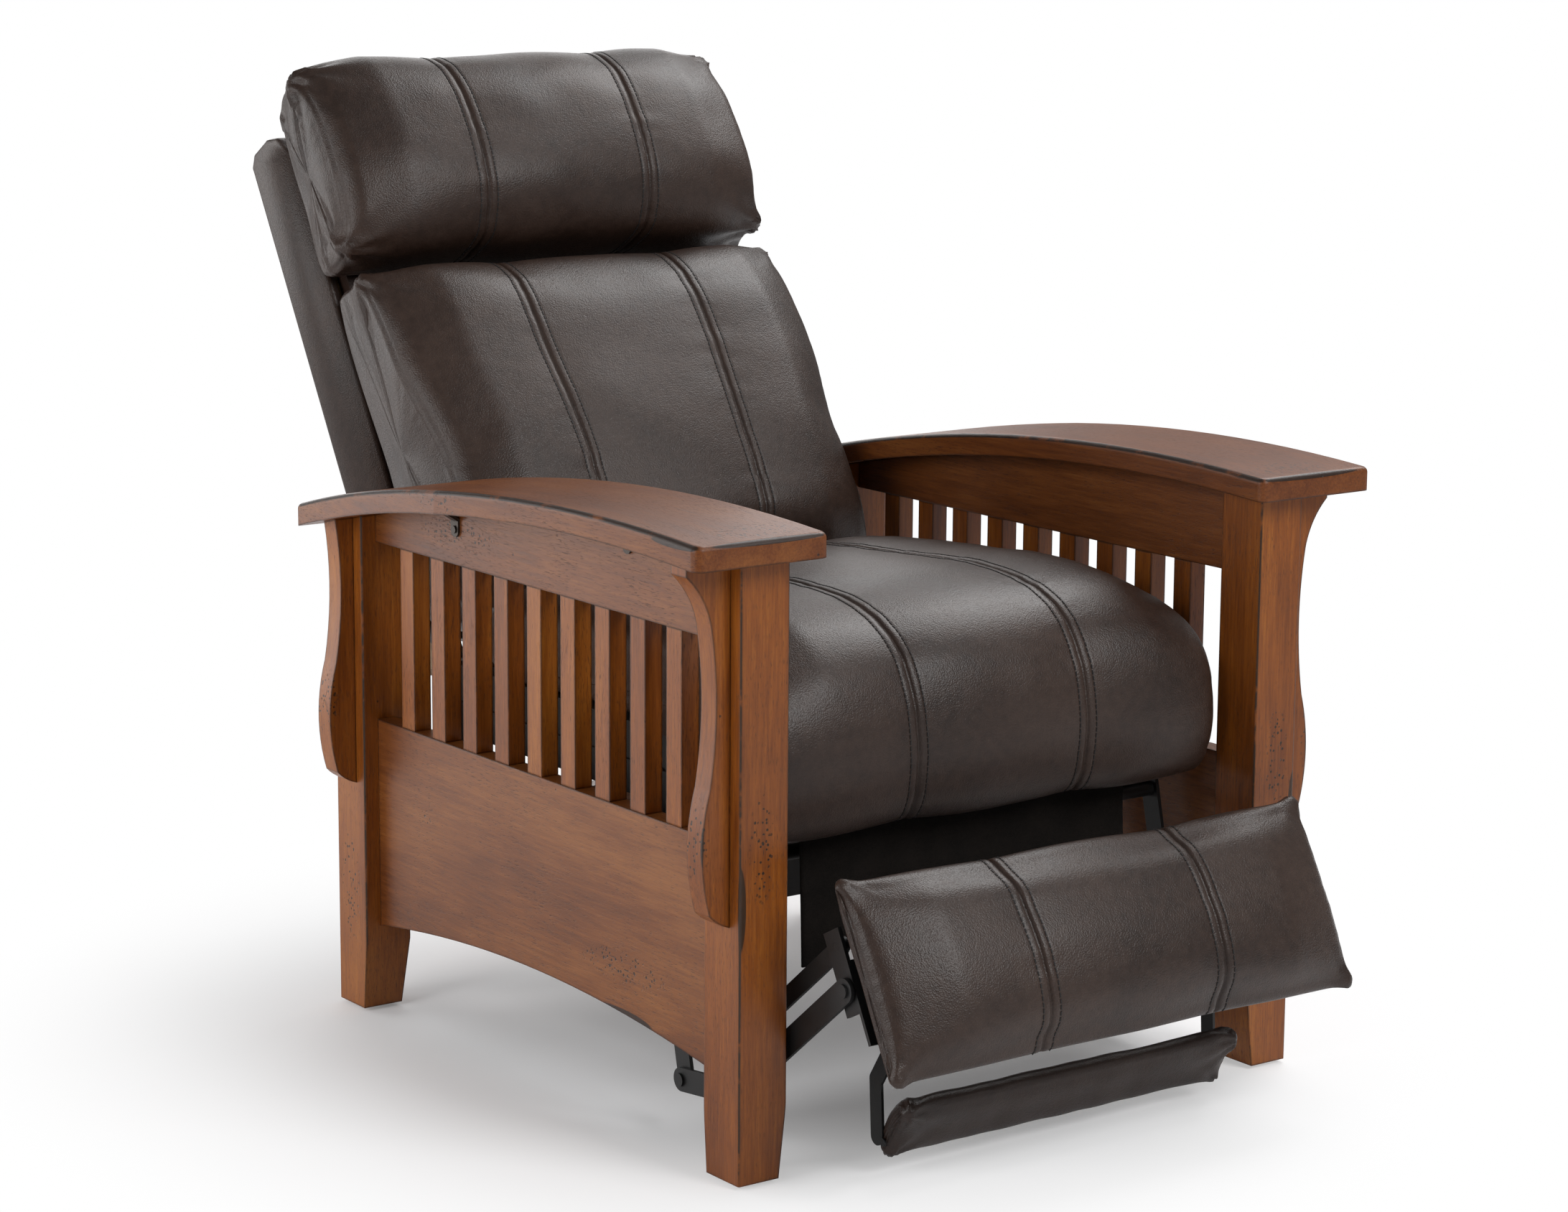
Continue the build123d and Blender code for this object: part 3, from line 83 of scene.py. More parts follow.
class Finish:
    def __init__(self, name):
        self.material = bpy.data.materials.new(name)
        self.material.use_nodes = True
        self.nodes = self.material.node_tree.nodes
        self.links = self.material.node_tree.links
        self.shader = self.nodes["Principled BSDF"]
        self.place = self.add("ShaderNodeTexCoord", {}, {}, "Object")

    def add(self, kind, settings, values, output=0):
        node = self.nodes.new(kind)
        for key, value in settings.items():
            if key == "stops":
                ramp = node.color_ramp
                while len(ramp.elements) < len(value):
                    ramp.elements.new(0.5)
                for element, (position, colour) in zip(ramp.elements, value):
                    element.position = position
                    element.color = (*colour, 1)
            else:
                setattr(node, key, value)
        pairs = values.items() if isinstance(values, dict) else enumerate(values)
        for key, value in pairs:
            socket = node.inputs[key]
            if isinstance(value, Field):
                self.links.new(value.socket, socket)
            else:
                socket.default_value = value
        return Field(self, node.outputs[output])

    def parts(self, vector):
        # a vector's three components
        split = self.nodes.new("ShaderNodeSeparateXYZ")
        self.links.new(vector.socket, split.inputs[0])
        return [Field(self, output) for output in split.outputs]

    def near(self, middle, reach, core=0.55):
        # 1 around a place, on both sides of the chair, fading out at its reach along each axis
        x, y, z = self.parts(self.place)
        mirrored = self.add("ShaderNodeCombineXYZ", {}, [x.maths("ABSOLUTE"), y, z])
        offset = self.add("ShaderNodeVectorMath", {"operation": "SUBTRACT"}, [mirrored, middle])
        scaled = self.add("ShaderNodeVectorMath", {"operation": "DIVIDE"}, [offset, reach])
        return self.add("ShaderNodeVectorMath", {"operation": "LENGTH"}, [scaled], "Value").below(core, 1.0)

    def stretched(self, scale, turn=(0, 0, 0)):
        return self.add("ShaderNodeMapping", {}, {"Vector": self.place, "Scale": scale, "Rotation": turn})

    def noise(self, place, scale, detail=3.0, roughness=0.55, distortion=0.0):
        values = {"Vector": place, "Scale": scale, "Detail": detail}
        values.update({"Roughness": roughness, "Distortion": distortion})
        return self.add("ShaderNodeTexNoise", {}, values, "Fac")

    def cells(self, place, scale, feature="F1"):
        # how far each place lies from the nearest of scattered points
        values = {"Vector": place, "Scale": scale}
        return self.add("ShaderNodeTexVoronoi", {"feature": feature}, values, "Distance")

    def ramp(self, factor, stops):
        return self.add("ShaderNodeValToRGB", {"stops": stops}, [factor], "Color")

    def blend(self, factor, first, second, how="MIX"):
        values = {"Factor": factor, 6: first, 7: second}
        settings = {"data_type": "RGBA", "blend_type": how}
        return self.add("ShaderNodeMix", settings, values, 2)

    def bump(self, height, distance, strength=1.0, under=None):
        values = {"Height": height, "Distance": distance, "Strength": strength}
        if under:
            values["Normal"] = under
        return self.add("ShaderNodeBump", {}, values, "Normal")

    def finish(self, **sockets):
        for key, value in sockets.items():
            socket = self.shader.inputs[key.replace("_", " ")]
            if isinstance(value, Field):
                self.links.new(value.socket, socket)
            else:
                socket.default_value = value
        return self.material


def rgb(*values):
    return (*values, 1)


# Stained hardwood, its grain along one axis of the chair
woodLook = {
    "dark": (0.082, 0.0205, 0.0034),
    "middle": (0.165, 0.0480, 0.0085),
    "light": (0.250, 0.0880, 0.0190),
    "pore": (0.040, 0.013, 0.005),
    "edge": (0.010, 0.006, 0.004),
    "edgeWidth": 0.0034,
    "roughness": 0.40,
}
# Places where the finisher has beaten in worm holes and dents, mirrored left and right: middle and reach
wornPlaces = {
    "arm": [
        ((0.419, -0.030, 0.608), (0.012, 0.075, 0.013)),
        ((0.330, -0.455, 0.628), (0.060, 0.030, 0.010)),
    ],
    "rail": [((0.332, 0.062, 0.5495), (0.02, 0.090, 0.018))],
    "panel": [
        ((0.332, -0.242, 0.163), (0.02, 0.090, 0.020)),
        ((0.332, 0.135, 0.235), (0.02, 0.012, 0.010)),
    ],
    "upright": [
        ((0.350, 0.265, 0.140), (0.012, 0.022, 0.075)),
        ((0.325, -0.4625, 0.330), (0.017, 0.012, 0.065)),
        ((0.388, -0.434, 0.340), (0.020, 0.030, 0.060)),
        ((0.388, 0.250, 0.350), (0.020, 0.060, 0.052)),
    ],
}
# Edges planed off and stained black there: long narrow places
rubbedPlaces = {
    "arm": [
        ((0.419, -0.455, 0.6265), (0.004, 0.040, 0.0045)),
        ((0.335, -0.4895, 0.628), (0.080, 0.0050, 0.0050)),
    ],
    "rail": [],
    "panel": [((0.332, -0.236, 0.112), (0.012, 0.058, 0.009))],
    "upright": [
        ((0.350, -0.4625, 0.274), (0.0075, 0.0030, 0.044)),
        ((0.386, -0.4465, 0.345), (0.0065, 0.0050, 0.048)),
    ],
}


def stainedWood(name, along, worn, tint=(1.0, 1.0, 1.0), turn=(0, 0, 0), gloss=0.33):
    look = woodLook
    f = Finish(name)

    def grained(slow, fast):
        stretch = {"x": (slow, fast, fast), "y": (fast, slow, fast), "z": (fast, fast, slow)}[along]
        return f.stretched(stretch, turn)

    place = grained(1.0, 10.0)
    broad = f.noise(place, 1.3, 3.0, 0.55, 0.5)
    rings = f.noise(place, 6.5, 4.0, 0.6, 1.1)
    fine = f.noise(grained(3.0, 60.0), 7.0, 3.0, 0.6, 0.2)
    cloud = f.noise(f.place, 5.5, 3.0, 0.5)
    tone = broad * 0.34 + rings * 0.20 + fine * 0.26 + cloud * 0.20
    base = f.ramp(tone, [(0.37, look["dark"]), (0.50, look["middle"]), (0.63, look["light"])])
    # short dark pores that run with the grain
    pores = f.noise(grained(36.0, 400.0), 3.0, 1.5, 0.5).above(0.57, 0.68)
    patchy = f.noise(f.place, 9.0, 2.0).above(0.36, 0.62)
    pores = pores * (patchy * 0.6 + 0.4)
    colour = f.blend(pores * 0.65, base, rgb(*look["pore"]))
    # a few worm holes anywhere, many in the worn places, and dents like short knife cuts
    dots = f.cells(f.place, 200.0).below(0.27, 0.33)
    sparse = f.cells(f.place, 16.0).below(0.016, 0.026)
    dashes = f.cells(grained(34.0, 300.0), 1.0).below(0.16, 0.24)
    scatter = f.noise(f.place, 130.0, 1.0).above(0.40, 0.48)
    spots = sparse * 0.8
    for middle, reach in wornPlaces[worn]:
        near = f.near(middle, reach)
        spots = spots.maths("MAXIMUM", near * dots * scatter)
        spots = spots.maths("MAXIMUM", f.near(middle, tuple(r * 0.55 for r in reach)) * dashes * scatter)
    colour = f.blend(spots * 0.92, colour, rgb(*look["edge"]))
    # edges burnished nearly black, more where the wear noise is high
    rounded = f.add("ShaderNodeBevel", {"samples": 4}, {"Radius": look["edgeWidth"]}, "Normal")
    flat = f.add("ShaderNodeNewGeometry", {}, {}, "Normal")
    facing = f.add("ShaderNodeVectorMath", {"operation": "DOT_PRODUCT"}, [rounded, flat], "Value")
    wear = f.noise(f.place, 22.0, 4.0, 0.7)
    # a rounded edge faces sideways and also forward or up
    sideways, forward, upward = f.parts(flat)
    other = forward if along == "z" else upward
    corner = (sideways.maths("ABSOLUTE") * other.maths("ABSOLUTE")).above(0.20, 0.38)
    edge = (1 - facing).above(0.010, 0.055).maths("MAXIMUM", corner) * wear.above(0.33, 0.47) * 0.92
    for middle, reach in rubbedPlaces[worn]:
        edge = edge.maths("MAXIMUM", f.near(middle, reach, 0.88) * (wear * 0.3 + 0.75))
    colour = f.blend(edge, colour, rgb(*look["edge"]))
    if tint != (1.0, 1.0, 1.0):
        colour = f.blend(1.0, colour, rgb(*tint), "MULTIPLY")
    height = fine * 0.3 - pores * 0.5 - spots * 2.4
    normal = f.bump(height, 0.0010, 0.30, rounded)
    rough = fine * 0.12 + pores * 0.15 + look["roughness"] - 0.06
    f.finish(Base_Color=colour, Roughness=rough, Normal=normal)
    return f.finish(Coat_Weight=gloss * 0.4, Coat_Roughness=0.30, Specular_IOR_Level=gloss)


def plainWood(name, dark, light):
    f = Finish(name)
    place = f.stretched((4, 4, 26))
    tone = f.noise(place, 5.0, 4.0, 0.6, 0.7)
    colour = f.ramp(tone, [(0.3, dark), (0.7, light)])
    normal = f.bump(f.noise(place, 30.0, 2.0), 0.0008, 0.3)
    return f.finish(Base_Color=colour, Roughness=tone * 0.2 + 0.55, Normal=normal)


# Dark brown leather with a fine pebble grain, drawn wrinkles and lighter stretched places
leatherLook = {
    "deep": (0.0190, 0.0098, 0.0066),
    "brown": (0.0320, 0.0172, 0.0118),
    "worn": (0.0460, 0.0262, 0.0184),
    "grainScale": 700.0,
    "grainHeight": 0.00040,
    "roughness": 0.41,
}


def leather(name, tint=1.0):
    look = leatherLook
    f = Finish(name)
    cloud = f.noise(f.place, 7.0, 3.0, 0.5, 0.3)
    mottle = f.noise(f.place, 90.0, 3.0, 0.6)
    tone = cloud * 0.55 + mottle * 0.45
    colour = f.ramp(tone, [(0.36, look["deep"]), (0.52, look["brown"]), (0.70, look["worn"])])
    pebble = f.cells(f.place, look["grainScale"], "SMOOTH_F1")
    wrinkled = f.noise(f.place, 260.0, 3.0, 0.65, 0.8)
    valley = pebble.above(0.25, 0.75)
    colour = f.blend(valley * 0.35, colour, rgb(*look["deep"]))
    if tint != 1.0:
        colour = f.blend(1.0, colour, rgb(tint, tint * 0.94, tint * 0.92), "MULTIPLY")
    drawn = f.noise(f.stretched((1, 1, 0.45)), 120.0, 3.0, 0.6, 0.6)
    height = wrinkled * 0.7 + drawn * 0.8 - pebble
    normal = f.bump(height, look["grainHeight"], 0.7)
    rough = tone * 0.14 + valley * 0.08 + look["roughness"] - 0.09
    return f.finish(Base_Color=colour, Roughness=rough, Normal=normal, Specular_IOR_Level=0.40)


def metal(name, colour, roughness, metallic=1.0, scratch=0.25):
    f = Finish(name)
    cloud = f.noise(f.place, 60.0, 4.0, 0.6)
    streak = f.noise(f.stretched((40, 400, 40)), 6.0, 2.0)
    tone = f.ramp(cloud, [(0.3, tuple(c * 0.75 for c in colour)), (0.7, colour)])
    normal = f.bump(streak, 0.0003, scratch)
    rough = cloud * 0.2 + roughness - 0.1
    return f.finish(Base_Color=tone, Roughness=rough, Metallic=metallic, Normal=normal)


def plastic(name, colour):
    f = Finish(name)
    cloud = f.noise(f.place, 90.0, 3.0)
    tone = f.ramp(cloud, [(0.3, tuple(c * 0.85 for c in colour)), (0.7, colour)])
    return f.finish(Base_Color=tone, Roughness=cloud * 0.15 + 0.42, Normal=f.bump(cloud, 0.0002, 0.3))


def felt(name):
    f = Finish(name)
    fibres = f.noise(f.place, 480.0, 4.0, 0.7, 1.5)
    cloud = f.noise(f.place, 25.0, 3.0)
    stops = [(0.35, (0.002, 0.0016, 0.0013)), (0.7, (0.014, 0.0105, 0.0085))]
    tone = f.ramp(fibres * 0.7 + cloud * 0.3, stops)
    normal = f.bump(fibres, 0.0010, 0.8)
    return f.finish(Base_Color=tone, Roughness=fibres * 0.1 + 0.88, Normal=normal, Specular_IOR_Level=0.15)


def thread(name):
    f = Finish(name)
    twist = f.noise(f.place, 1500.0, 2.0)
    tone = f.ramp(twist, [(0.3, (0.003, 0.002, 0.002)), (0.7, (0.012, 0.009, 0.008))])
    return f.finish(Base_Color=tone, Roughness=twist * 0.1 + 0.6, Normal=f.bump(twist, 0.0002, 0.5))


finishes = {
    "woodUp": stainedWood("stained wood upright", "z", "upright", (1.30, 1.20, 0.55)),
    "woodRail": stainedWood("stained wood lengthways", "y", "rail", turn=(0.02, 0, 0.01)),
    "woodPanel": stainedWood("stained wood panel", "y", "panel", turn=(0.03, 0, 0.02)),
    "woodCross": stainedWood("stained wood crossways", "x", "rail"),
    "woodArm": stainedWood("stained wood arm", "y", "arm", (0.86, 0.80, 0.66), (0.05, 0, 0.03), 0.28),
    "plain": plainWood("plain wood", (0.29, 0.17, 0.08), (0.52, 0.36, 0.20)),
    "darkPlain": plainWood("dark plain wood", (0.003, 0.002, 0.0015), (0.009, 0.006, 0.004)),
    "leather": leather("brown leather"),
    "darkLeather": leather("black brown leather", 0.75),
    "felt": felt("black felt"),
    # the mechanism's black paint, set darker still as painted shade for the deep shade under the seat
    "blackSteelAndPaintedShade": metal("black steel and painted shade", (0.0045, 0.0045, 0.0045), 0.45, 0.0),
    "bronzeSteel": metal("bronzed steel", (0.055, 0.042, 0.034), 0.36, 0.7),
    "brightSteel": metal("zinc steel", (0.30, 0.30, 0.30), 0.42),
    "thread": thread("stitching thread"),
    "whitePlastic": plastic("natural plastic", (0.70, 0.68, 0.62)),
    "blackPlastic": plastic("black plastic", (0.03, 0.03, 0.03)),
}
print("finishes made", len(finishes))

# The finish of each CAD node, by a word in its name; the first that fits is taken
nodeFinish = [
    ("arm_board", "woodArm"),
    ("arm_brackets", "bronzeSteel"),
    ("frame_screws", "bronzeSteel"),
    ("back_posts", "plain"),
    ("back_rails", "plain"),
    ("back_deck", "darkLeather"),
    ("seat_side_rails", "darkPlain"),
    ("seat_cross_rails", "darkPlain"),
    ("base_cross_rail", "darkPlain"),
    ("footrest_board", "darkPlain"),
    ("front_post", "woodUp"),
    ("rear_post", "woodUp"),
    ("side_slats", "woodUp"),
    ("corbel", "woodUp"),
    ("top_rail", "woodRail"),
    ("bottom_panel", "woodPanel"),
    ("rear_stretcher", "woodCross"),
    ("felt", "felt"),
    ("seat_runners", "whitePlastic"),
    ("foot_glides", "blackPlastic"),
    ("springs", "brightSteel"),
    ("clips", "brightSteel"),
    ("seat_tracks", "brightSteel"),
    ("axles", "brightSteel"),
    ("seat_plate_bolts", "brightSteel"),
    # everything else is the mechanism: black paint on steel, darkened as painted shade under the seat
    ("", "blackSteelAndPaintedShade"),
]


def finishOf(node):
    return next(finish for word, finish in nodeFinish if word in node)


for nodeName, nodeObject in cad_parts.items():
    nodeObject.data.materials.clear()
    nodeObject.data.materials.append(finishes[finishOf(nodeName)])
print("frame dressed")


def meshPiece(name, points, faces, finish, smooth=True):
    mesh = bpy.data.meshes.new(name)
    mesh.from_pydata([tuple(p) for p in points], [], faces)
    mesh.materials.append(finishes[finish])
    mesh.validate()
    mesh.update()
    if smooth:
        mesh.polygons.foreach_set("use_smooth", [True] * len(mesh.polygons))
    piece = bpy.data.objects.new(name, mesh)
    bpy.context.scene.collection.objects.link(piece)
    return piece


def applyTo(piece):
    # puts the result of the piece's modifiers into its mesh
    graph = bpy.context.evaluated_depsgraph_get()
    result = bpy.data.meshes.new_from_object(piece.evaluated_get(graph), depsgraph=graph)
    result.name = piece.name
    piece.modifiers.clear()
    piece.data = result


# Local planes that the cushions are drawn in: across, up and out, to chair metres
def leant(footY, footZ, lean):
    def place(local):
        local = np.asarray(local, dtype=float)
        x, up, out = local[..., 0], local[..., 1], local[..., 2]
        y = footY - frontFace + up * math.sin(lean) - out * math.cos(lean)
        z = footZ + up * math.cos(lean) + out * math.sin(lean)
        return np.stack([x, y, z], axis=-1)

    return place


# each plane by the place of its foot and its lean
onBack = leant(0.781, 0.557, math.radians(31.0))
onPad = leant(-0.154, 0.143, math.radians(27.8))


def onSeat(local):
    return np.asarray(local, dtype=float) - np.array([0, frontFace, 0])


def smoothRing(points, steps):
    # closed curve through all the points, rounder than straight runs
    points = np.array(points, dtype=float)
    count = len(points)
    ring = []
    for i in range(count):
        p0, p1, p2, p3 = (points[(i + k) % count] for k in (-1, 0, 1, 2))
        span = max(np.linalg.norm(p2 - p1), 1e-6)
        before = max(np.linalg.norm(p1 - p0), 1e-6)
        after = max(np.linalg.norm(p3 - p2), 1e-6)
        m1 = span * ((p1 - p0) / before * 0.5 + (p2 - p1) / span * 0.5)
        m2 = span * ((p2 - p1) / span * 0.5 + (p3 - p2) / after * 0.5)
        for k in range(steps):
            t = k / steps
            h = (2 * t**3 - 3 * t**2 + 1, t**3 - 2 * t**2 + t, -2 * t**3 + 3 * t**2, t**3 - t**2)
            ring.append(h[0] * p1 + h[1] * m1 + h[2] * p2 + h[3] * m2)
    return np.array(ring)


def evenRing(ring, count):
    closed = np.vstack([ring, ring[:1]])
    lengths = np.concatenate([[0], np.cumsum(np.linalg.norm(np.diff(closed, axis=0), axis=1))])
    wanted = np.linspace(0, lengths[-1], count, endpoint=False)
    return np.stack([np.interp(wanted, lengths, closed[:, k]) for k in (0, 1)], axis=1)


def insetRing(ring, inset):
    along = np.roll(ring, -1, axis=0) - np.roll(ring, 1, axis=0)
    along /= np.maximum(np.linalg.norm(along, axis=1, keepdims=True), 1e-9)
    return ring + np.stack([-along[:, 1], along[:, 0]], axis=1) * inset


# The sewing: metres from the seam, and heights and widths of what it does to the cover
seamLook = {
    "step": 0.0015,  # between rows of the mesh beside a seam
    "reach": 0.0165,  # of those rows to each side
    "stitchGap": 0.0105,  # of each row of stitches
    "stitchLift": 0.0003,
    "grooveWidth": 0.0016,
    "ridge": 0.0006,
    "ridgeGap": 0.0060,
    "ridgeWidth": 0.0045,
    "pulled": 0.0006,  # of the cover under the stitches
    "pulledWidth": 0.0013,
    "pucker": 0.0010,
    "puckerWidth": 0.026,
    "puckerScale": 62.0,
    "puckerStretch": (0.25, 1, 1),
    "ripple": 0.0005,
    "rippleWidth": 0.018,
    "rippleStretch": (95, 22, 1),
    "sideSeam": 0.0013,
    "sideSeamWidth": 0.0015,
    "sideSeamPlace": 0.3,  # of the end's rounding
    "slowScale": 8.0,  # of the cover's slow unevenness, and of its folds
    "foldScale": 21.0,
    "shownFrom": 0.75,  # of the cover's freedom, where stitches lie in the open
}
# How a pleated corner runs out, and the cloth that swells: stiffness, steps and coarseness
cornerLook = {"folds": 9, "fade": 0.030, "plain": 0.007, "earWidth": 0.013}
clothLook = {"step": 0.014, "stretch": 18, "shear": 6, "bend": 0.6, "frames": 20, "smoothings": 8}


def placesAcross(look, step, seams):
    # places across a cushion, each with how far it has fallen away and how far its edge is drawn in
    half, panel, ends = look["half"], look["panel"], look["endRound"]
    knots = [0.0, panel, panel + (half - panel) * 0.55, half - 2 * ends, half - ends / 2, half]
    falls = [0.0, 0.0, *look["falls"], 1.0]
    if seams and panel > 0:
        reach, fine = seamLook["reach"], seamLook["step"]
        right = list(np.linspace(0, panel - reach, round(panel / step), endpoint=False))
        right += list(np.arange(panel - reach, panel + reach + fine / 2, fine))
        start = panel + reach + step / 2
    else:
        right, start = [0.0], step
    right += list(np.linspace(start, half - ends, round((half - start) / step), endpoint=False))
    turns = 9 if seams else 5
    right += [half - ends + ends * math.sin(k / (turns - 1) * math.pi / 2) for k in range(turns)]
    stations = []
    for x in right:
        over = max(0.0, x - (half - ends)) / ends
        inset = ends * (1 - math.sqrt(max(0.0, 1 - over * over)))
        stations.append((float(x), float(np.interp(x, knots, falls)), inset))
    return [(-x, fall, inset) for x, fall, inset in stations[:0:-1]] + stations


def skin(look, ringOf, step, count, seams):
    # the cushion's cover as rows of (across, up, out), with the rows that close its two sides
    rows, marks = [], []
    for x, fall, inset in placesAcross(look, step, seams):
        ring = insetRing(evenRing(smoothRing(ringOf(fall, x), 8), count), inset)
        across = x * (1 - look["narrow"](ring[:, 0], ring[:, 1]) / look["half"])
        rows.append(np.column_stack([across, ring]))
        marks.append(x)
    shares = (0.10, 0.22, 0.36, 0.50, 0.64, 0.78, 0.90)
    for side in (-1, 1):
        edge = rows[0] if side < 0 else rows[-1]
        middle = edge.mean(axis=0)
        closing = []
        for share in shares:
            row = edge + (middle - edge) * share
            row[:, 0] += side * look["dome"] * (1 - (1 - share) ** 2)
            closing.append(row)
        # marks beyond the cushion's half tell these rows from the others
        beyond = [side * (look["half"] + 0.06 * share) for share in shares]
        if side < 0:
            rows, marks = closing[::-1] + rows, beyond[::-1] + marks
        else:
            rows, marks = rows + closing, marks + beyond
    return np.array(rows), np.array(marks)


def skinPiece(name, points, finish):
    # a closed mesh from rows of points, each end drawn to one point
    rows, count = points.shape[:2]
    flat = list(points.reshape(-1, 3)) + [points[0].mean(axis=0), points[-1].mean(axis=0)]
    faces = []
    for i in range(rows - 1):
        for k in range(count):
            n = (k + 1) % count
            faces.append((i * count + k, i * count + n, (i + 1) * count + n, (i + 1) * count + k))
    last = (rows - 1) * count
    for k in range(count):
        n = (k + 1) % count
        faces.append((rows * count, n, k))
        faces.append((rows * count + 1, last + k, last + n))
    piece = meshPiece(name, flat, faces, finish)
    work = bmesh.new()
    work.from_mesh(piece.data)
    bmesh.ops.recalc_face_normals(work, faces=work.faces)
    work.to_mesh(piece.data)
    work.free()
    return piece


def vertexPlaces(piece):
    places = np.empty(len(piece.data.vertices) * 3)
    piece.data.vertices.foreach_get("co", places)
    return places.reshape(-1, 3)


def swelling(look, place, ringOf):
    # air pressure swells a coarse cover; each point's movement is capped
    soft = clothLook
    local, marks = skin(look, ringOf, soft["step"], look["coarse"], False)
    start = place(local)
    piece = skinPiece("filling", start, "leather")
    cloth = piece.modifiers.new("cloth", "CLOTH")
    cloth.settings.use_pressure = True
    cloth.settings.uniform_pressure_force = look["pressure"]
    cloth.settings.effector_weights.gravity = 0
    cloth.settings.tension_stiffness = soft["stretch"]
    cloth.settings.compression_stiffness = soft["stretch"]
    cloth.settings.shear_stiffness = soft["shear"]
    cloth.settings.bending_stiffness = soft["bend"]
    cloth.point_cache.frame_start = 1
    cloth.point_cache.frame_end = soft["frames"]
    for step in range(1, soft["frames"] + 1):
        bpy.context.scene.frame_set(step)
    applyTo(piece)
    bpy.context.scene.frame_set(1)
    moved = vertexPlaces(piece)[:-2].reshape(start.shape) - start
    bpy.data.objects.remove(piece)
    length = np.linalg.norm(moved, axis=-1, keepdims=True)
    return moved * np.minimum(1, look["cap"] / np.maximum(length, 1e-9)) * look["swell"], marks


def spread(moved, fromMarks, toMarks, count):
    # carries the coarse cover's movement over to the fine one, and smooths it
    coarse = moved.shape[1]
    rows = np.empty((len(toMarks), coarse, 3))
    for c in range(coarse):
        for k in range(3):
            rows[:, c, k] = np.interp(toMarks, fromMarks, moved[:, c, k])
    wrapped = np.concatenate([rows, rows[:, :1]], axis=1)
    at = np.linspace(0, coarse, count, endpoint=False)
    fine = np.empty((len(toMarks), count, 3))
    for r in range(len(toMarks)):
        for k in range(3):
            fine[r, :, k] = np.interp(at, np.arange(coarse + 1), wrapped[r, :, k])
    for turn in range(clothLook["smoothings"]):
        fine = fine * 0.5 + (np.roll(fine, 1, axis=1) + np.roll(fine, -1, axis=1)) * 0.25
        fine[1:-1] = fine[1:-1] * 0.5 + (fine[2:] + fine[:-2]) * 0.25
    return fine


def outward(points):
    # the cover's own outward direction at each point
    along = np.gradient(points, axis=0)
    around = np.roll(points, -1, axis=1) - np.roll(points, 1, axis=1)
    normals = np.cross(along, around)
    normals /= np.maximum(np.linalg.norm(normals, axis=-1, keepdims=True), 1e-12)
    middle = points.reshape(-1, 3).mean(axis=0)
    if (normals * (points - middle)).sum() < 0:
        normals = -normals
    return normals


def noiseAt(places, scale, seed, stretch=(1, 1, 1)):
    moved = places * np.array(stretch) * scale + np.array([seed * 3.7, seed * 1.3, seed * 2.1])
    return np.array([noise.noise(Vector(p)) for p in moved.reshape(-1, 3)]).reshape(places.shape[:-1])


def bell(distance, width):
    return np.exp(-((distance / width) ** 2))


def sewn(points, local, marks, look):
    # seams with their ridges, puckers and pleats, the crown of each panel, and slow unevenness
    half, panel, sew = look["half"], look["panel"], seamLook
    x = np.abs(marks)[:, None]
    free = look["free"](local[..., 1], local[..., 2])
    move = noiseAt(points, sew["slowScale"], look["seed"] + 1) * look["slow"]
    folded = noiseAt(points, sew["foldScale"], look["seed"] + 2, look["foldStretch"])
    move = move + folded * look["fold"]
    if panel > 0:
        off = np.abs(x - panel)
        groove = -look["seamDepth"] * bell(off, sew["grooveWidth"])
        groove = groove + sew["ridge"] * bell(off - sew["ridgeGap"], sew["ridgeWidth"])
        groove = groove - sew["pulled"] * bell(off - sew["stitchGap"], sew["pulledWidth"])
        puckers = noiseAt(points, sew["puckerScale"], look["seed"], sew["puckerStretch"])
        puckers = puckers * sew["pucker"] * bell(off, sew["puckerWidth"])
        middle = x < panel
        across = np.where(middle, x / panel, (x - panel) / (half - panel))
        crown = np.where(middle, 1 - across**2, np.clip(4 * across * (1 - across), 0, 1)) * look["crown"]
        move = move + groove + puckers + np.where(x > half, 0, crown)
    ring = points[len(points) // 2]
    around = np.linalg.norm(ring - np.roll(ring, 1, axis=0), axis=1).sum() / len(ring)
    inward = half - x
    count = points.shape[1]
    places = np.broadcast_to(np.arange(count) * around, move.shape)
    spots = np.stack([places, np.broadcast_to(inward, move.shape), 0 * move], axis=-1)
    rippled = noiseAt(spots, 1.0, look["seed"] + 3, sew["rippleStretch"])
    move = move + rippled * sew["ripple"] * bell(inward, sew["rippleWidth"])
    crease = np.abs(x - (half - look["endRound"] * sew["sideSeamPlace"]))
    move = move - sew["sideSeam"] * bell(crease, sew["sideSeamWidth"]) * look["sideSeam"]
    edge = local[np.argmin(np.abs(marks - half))]
    for up, out, pleat, ear in look["corners"]:
        corner = np.argmin((edge[:, 1] - up) ** 2 + (edge[:, 2] - out) ** 2)
        steps = (np.arange(count) - corner + count // 2) % count - count // 2
        sideways = np.broadcast_to(steps * around, move.shape)
        away = np.hypot(sideways, inward)
        angle = np.arctan2(sideways, inward + 1e-6)
        folds = np.cos(angle * cornerLook["folds"] + look["seed"]) * np.exp(-away / cornerLook["fade"])
        folds = folds * (1 - bell(away, cornerLook["plain"]))
        move = move + folds * pleat + bell(away, cornerLook["earWidth"]) * ear
    return points + outward(points) * (move * free)[..., None]


# The rows of stitches that each cushion leaves for its threads
seamLines = {}


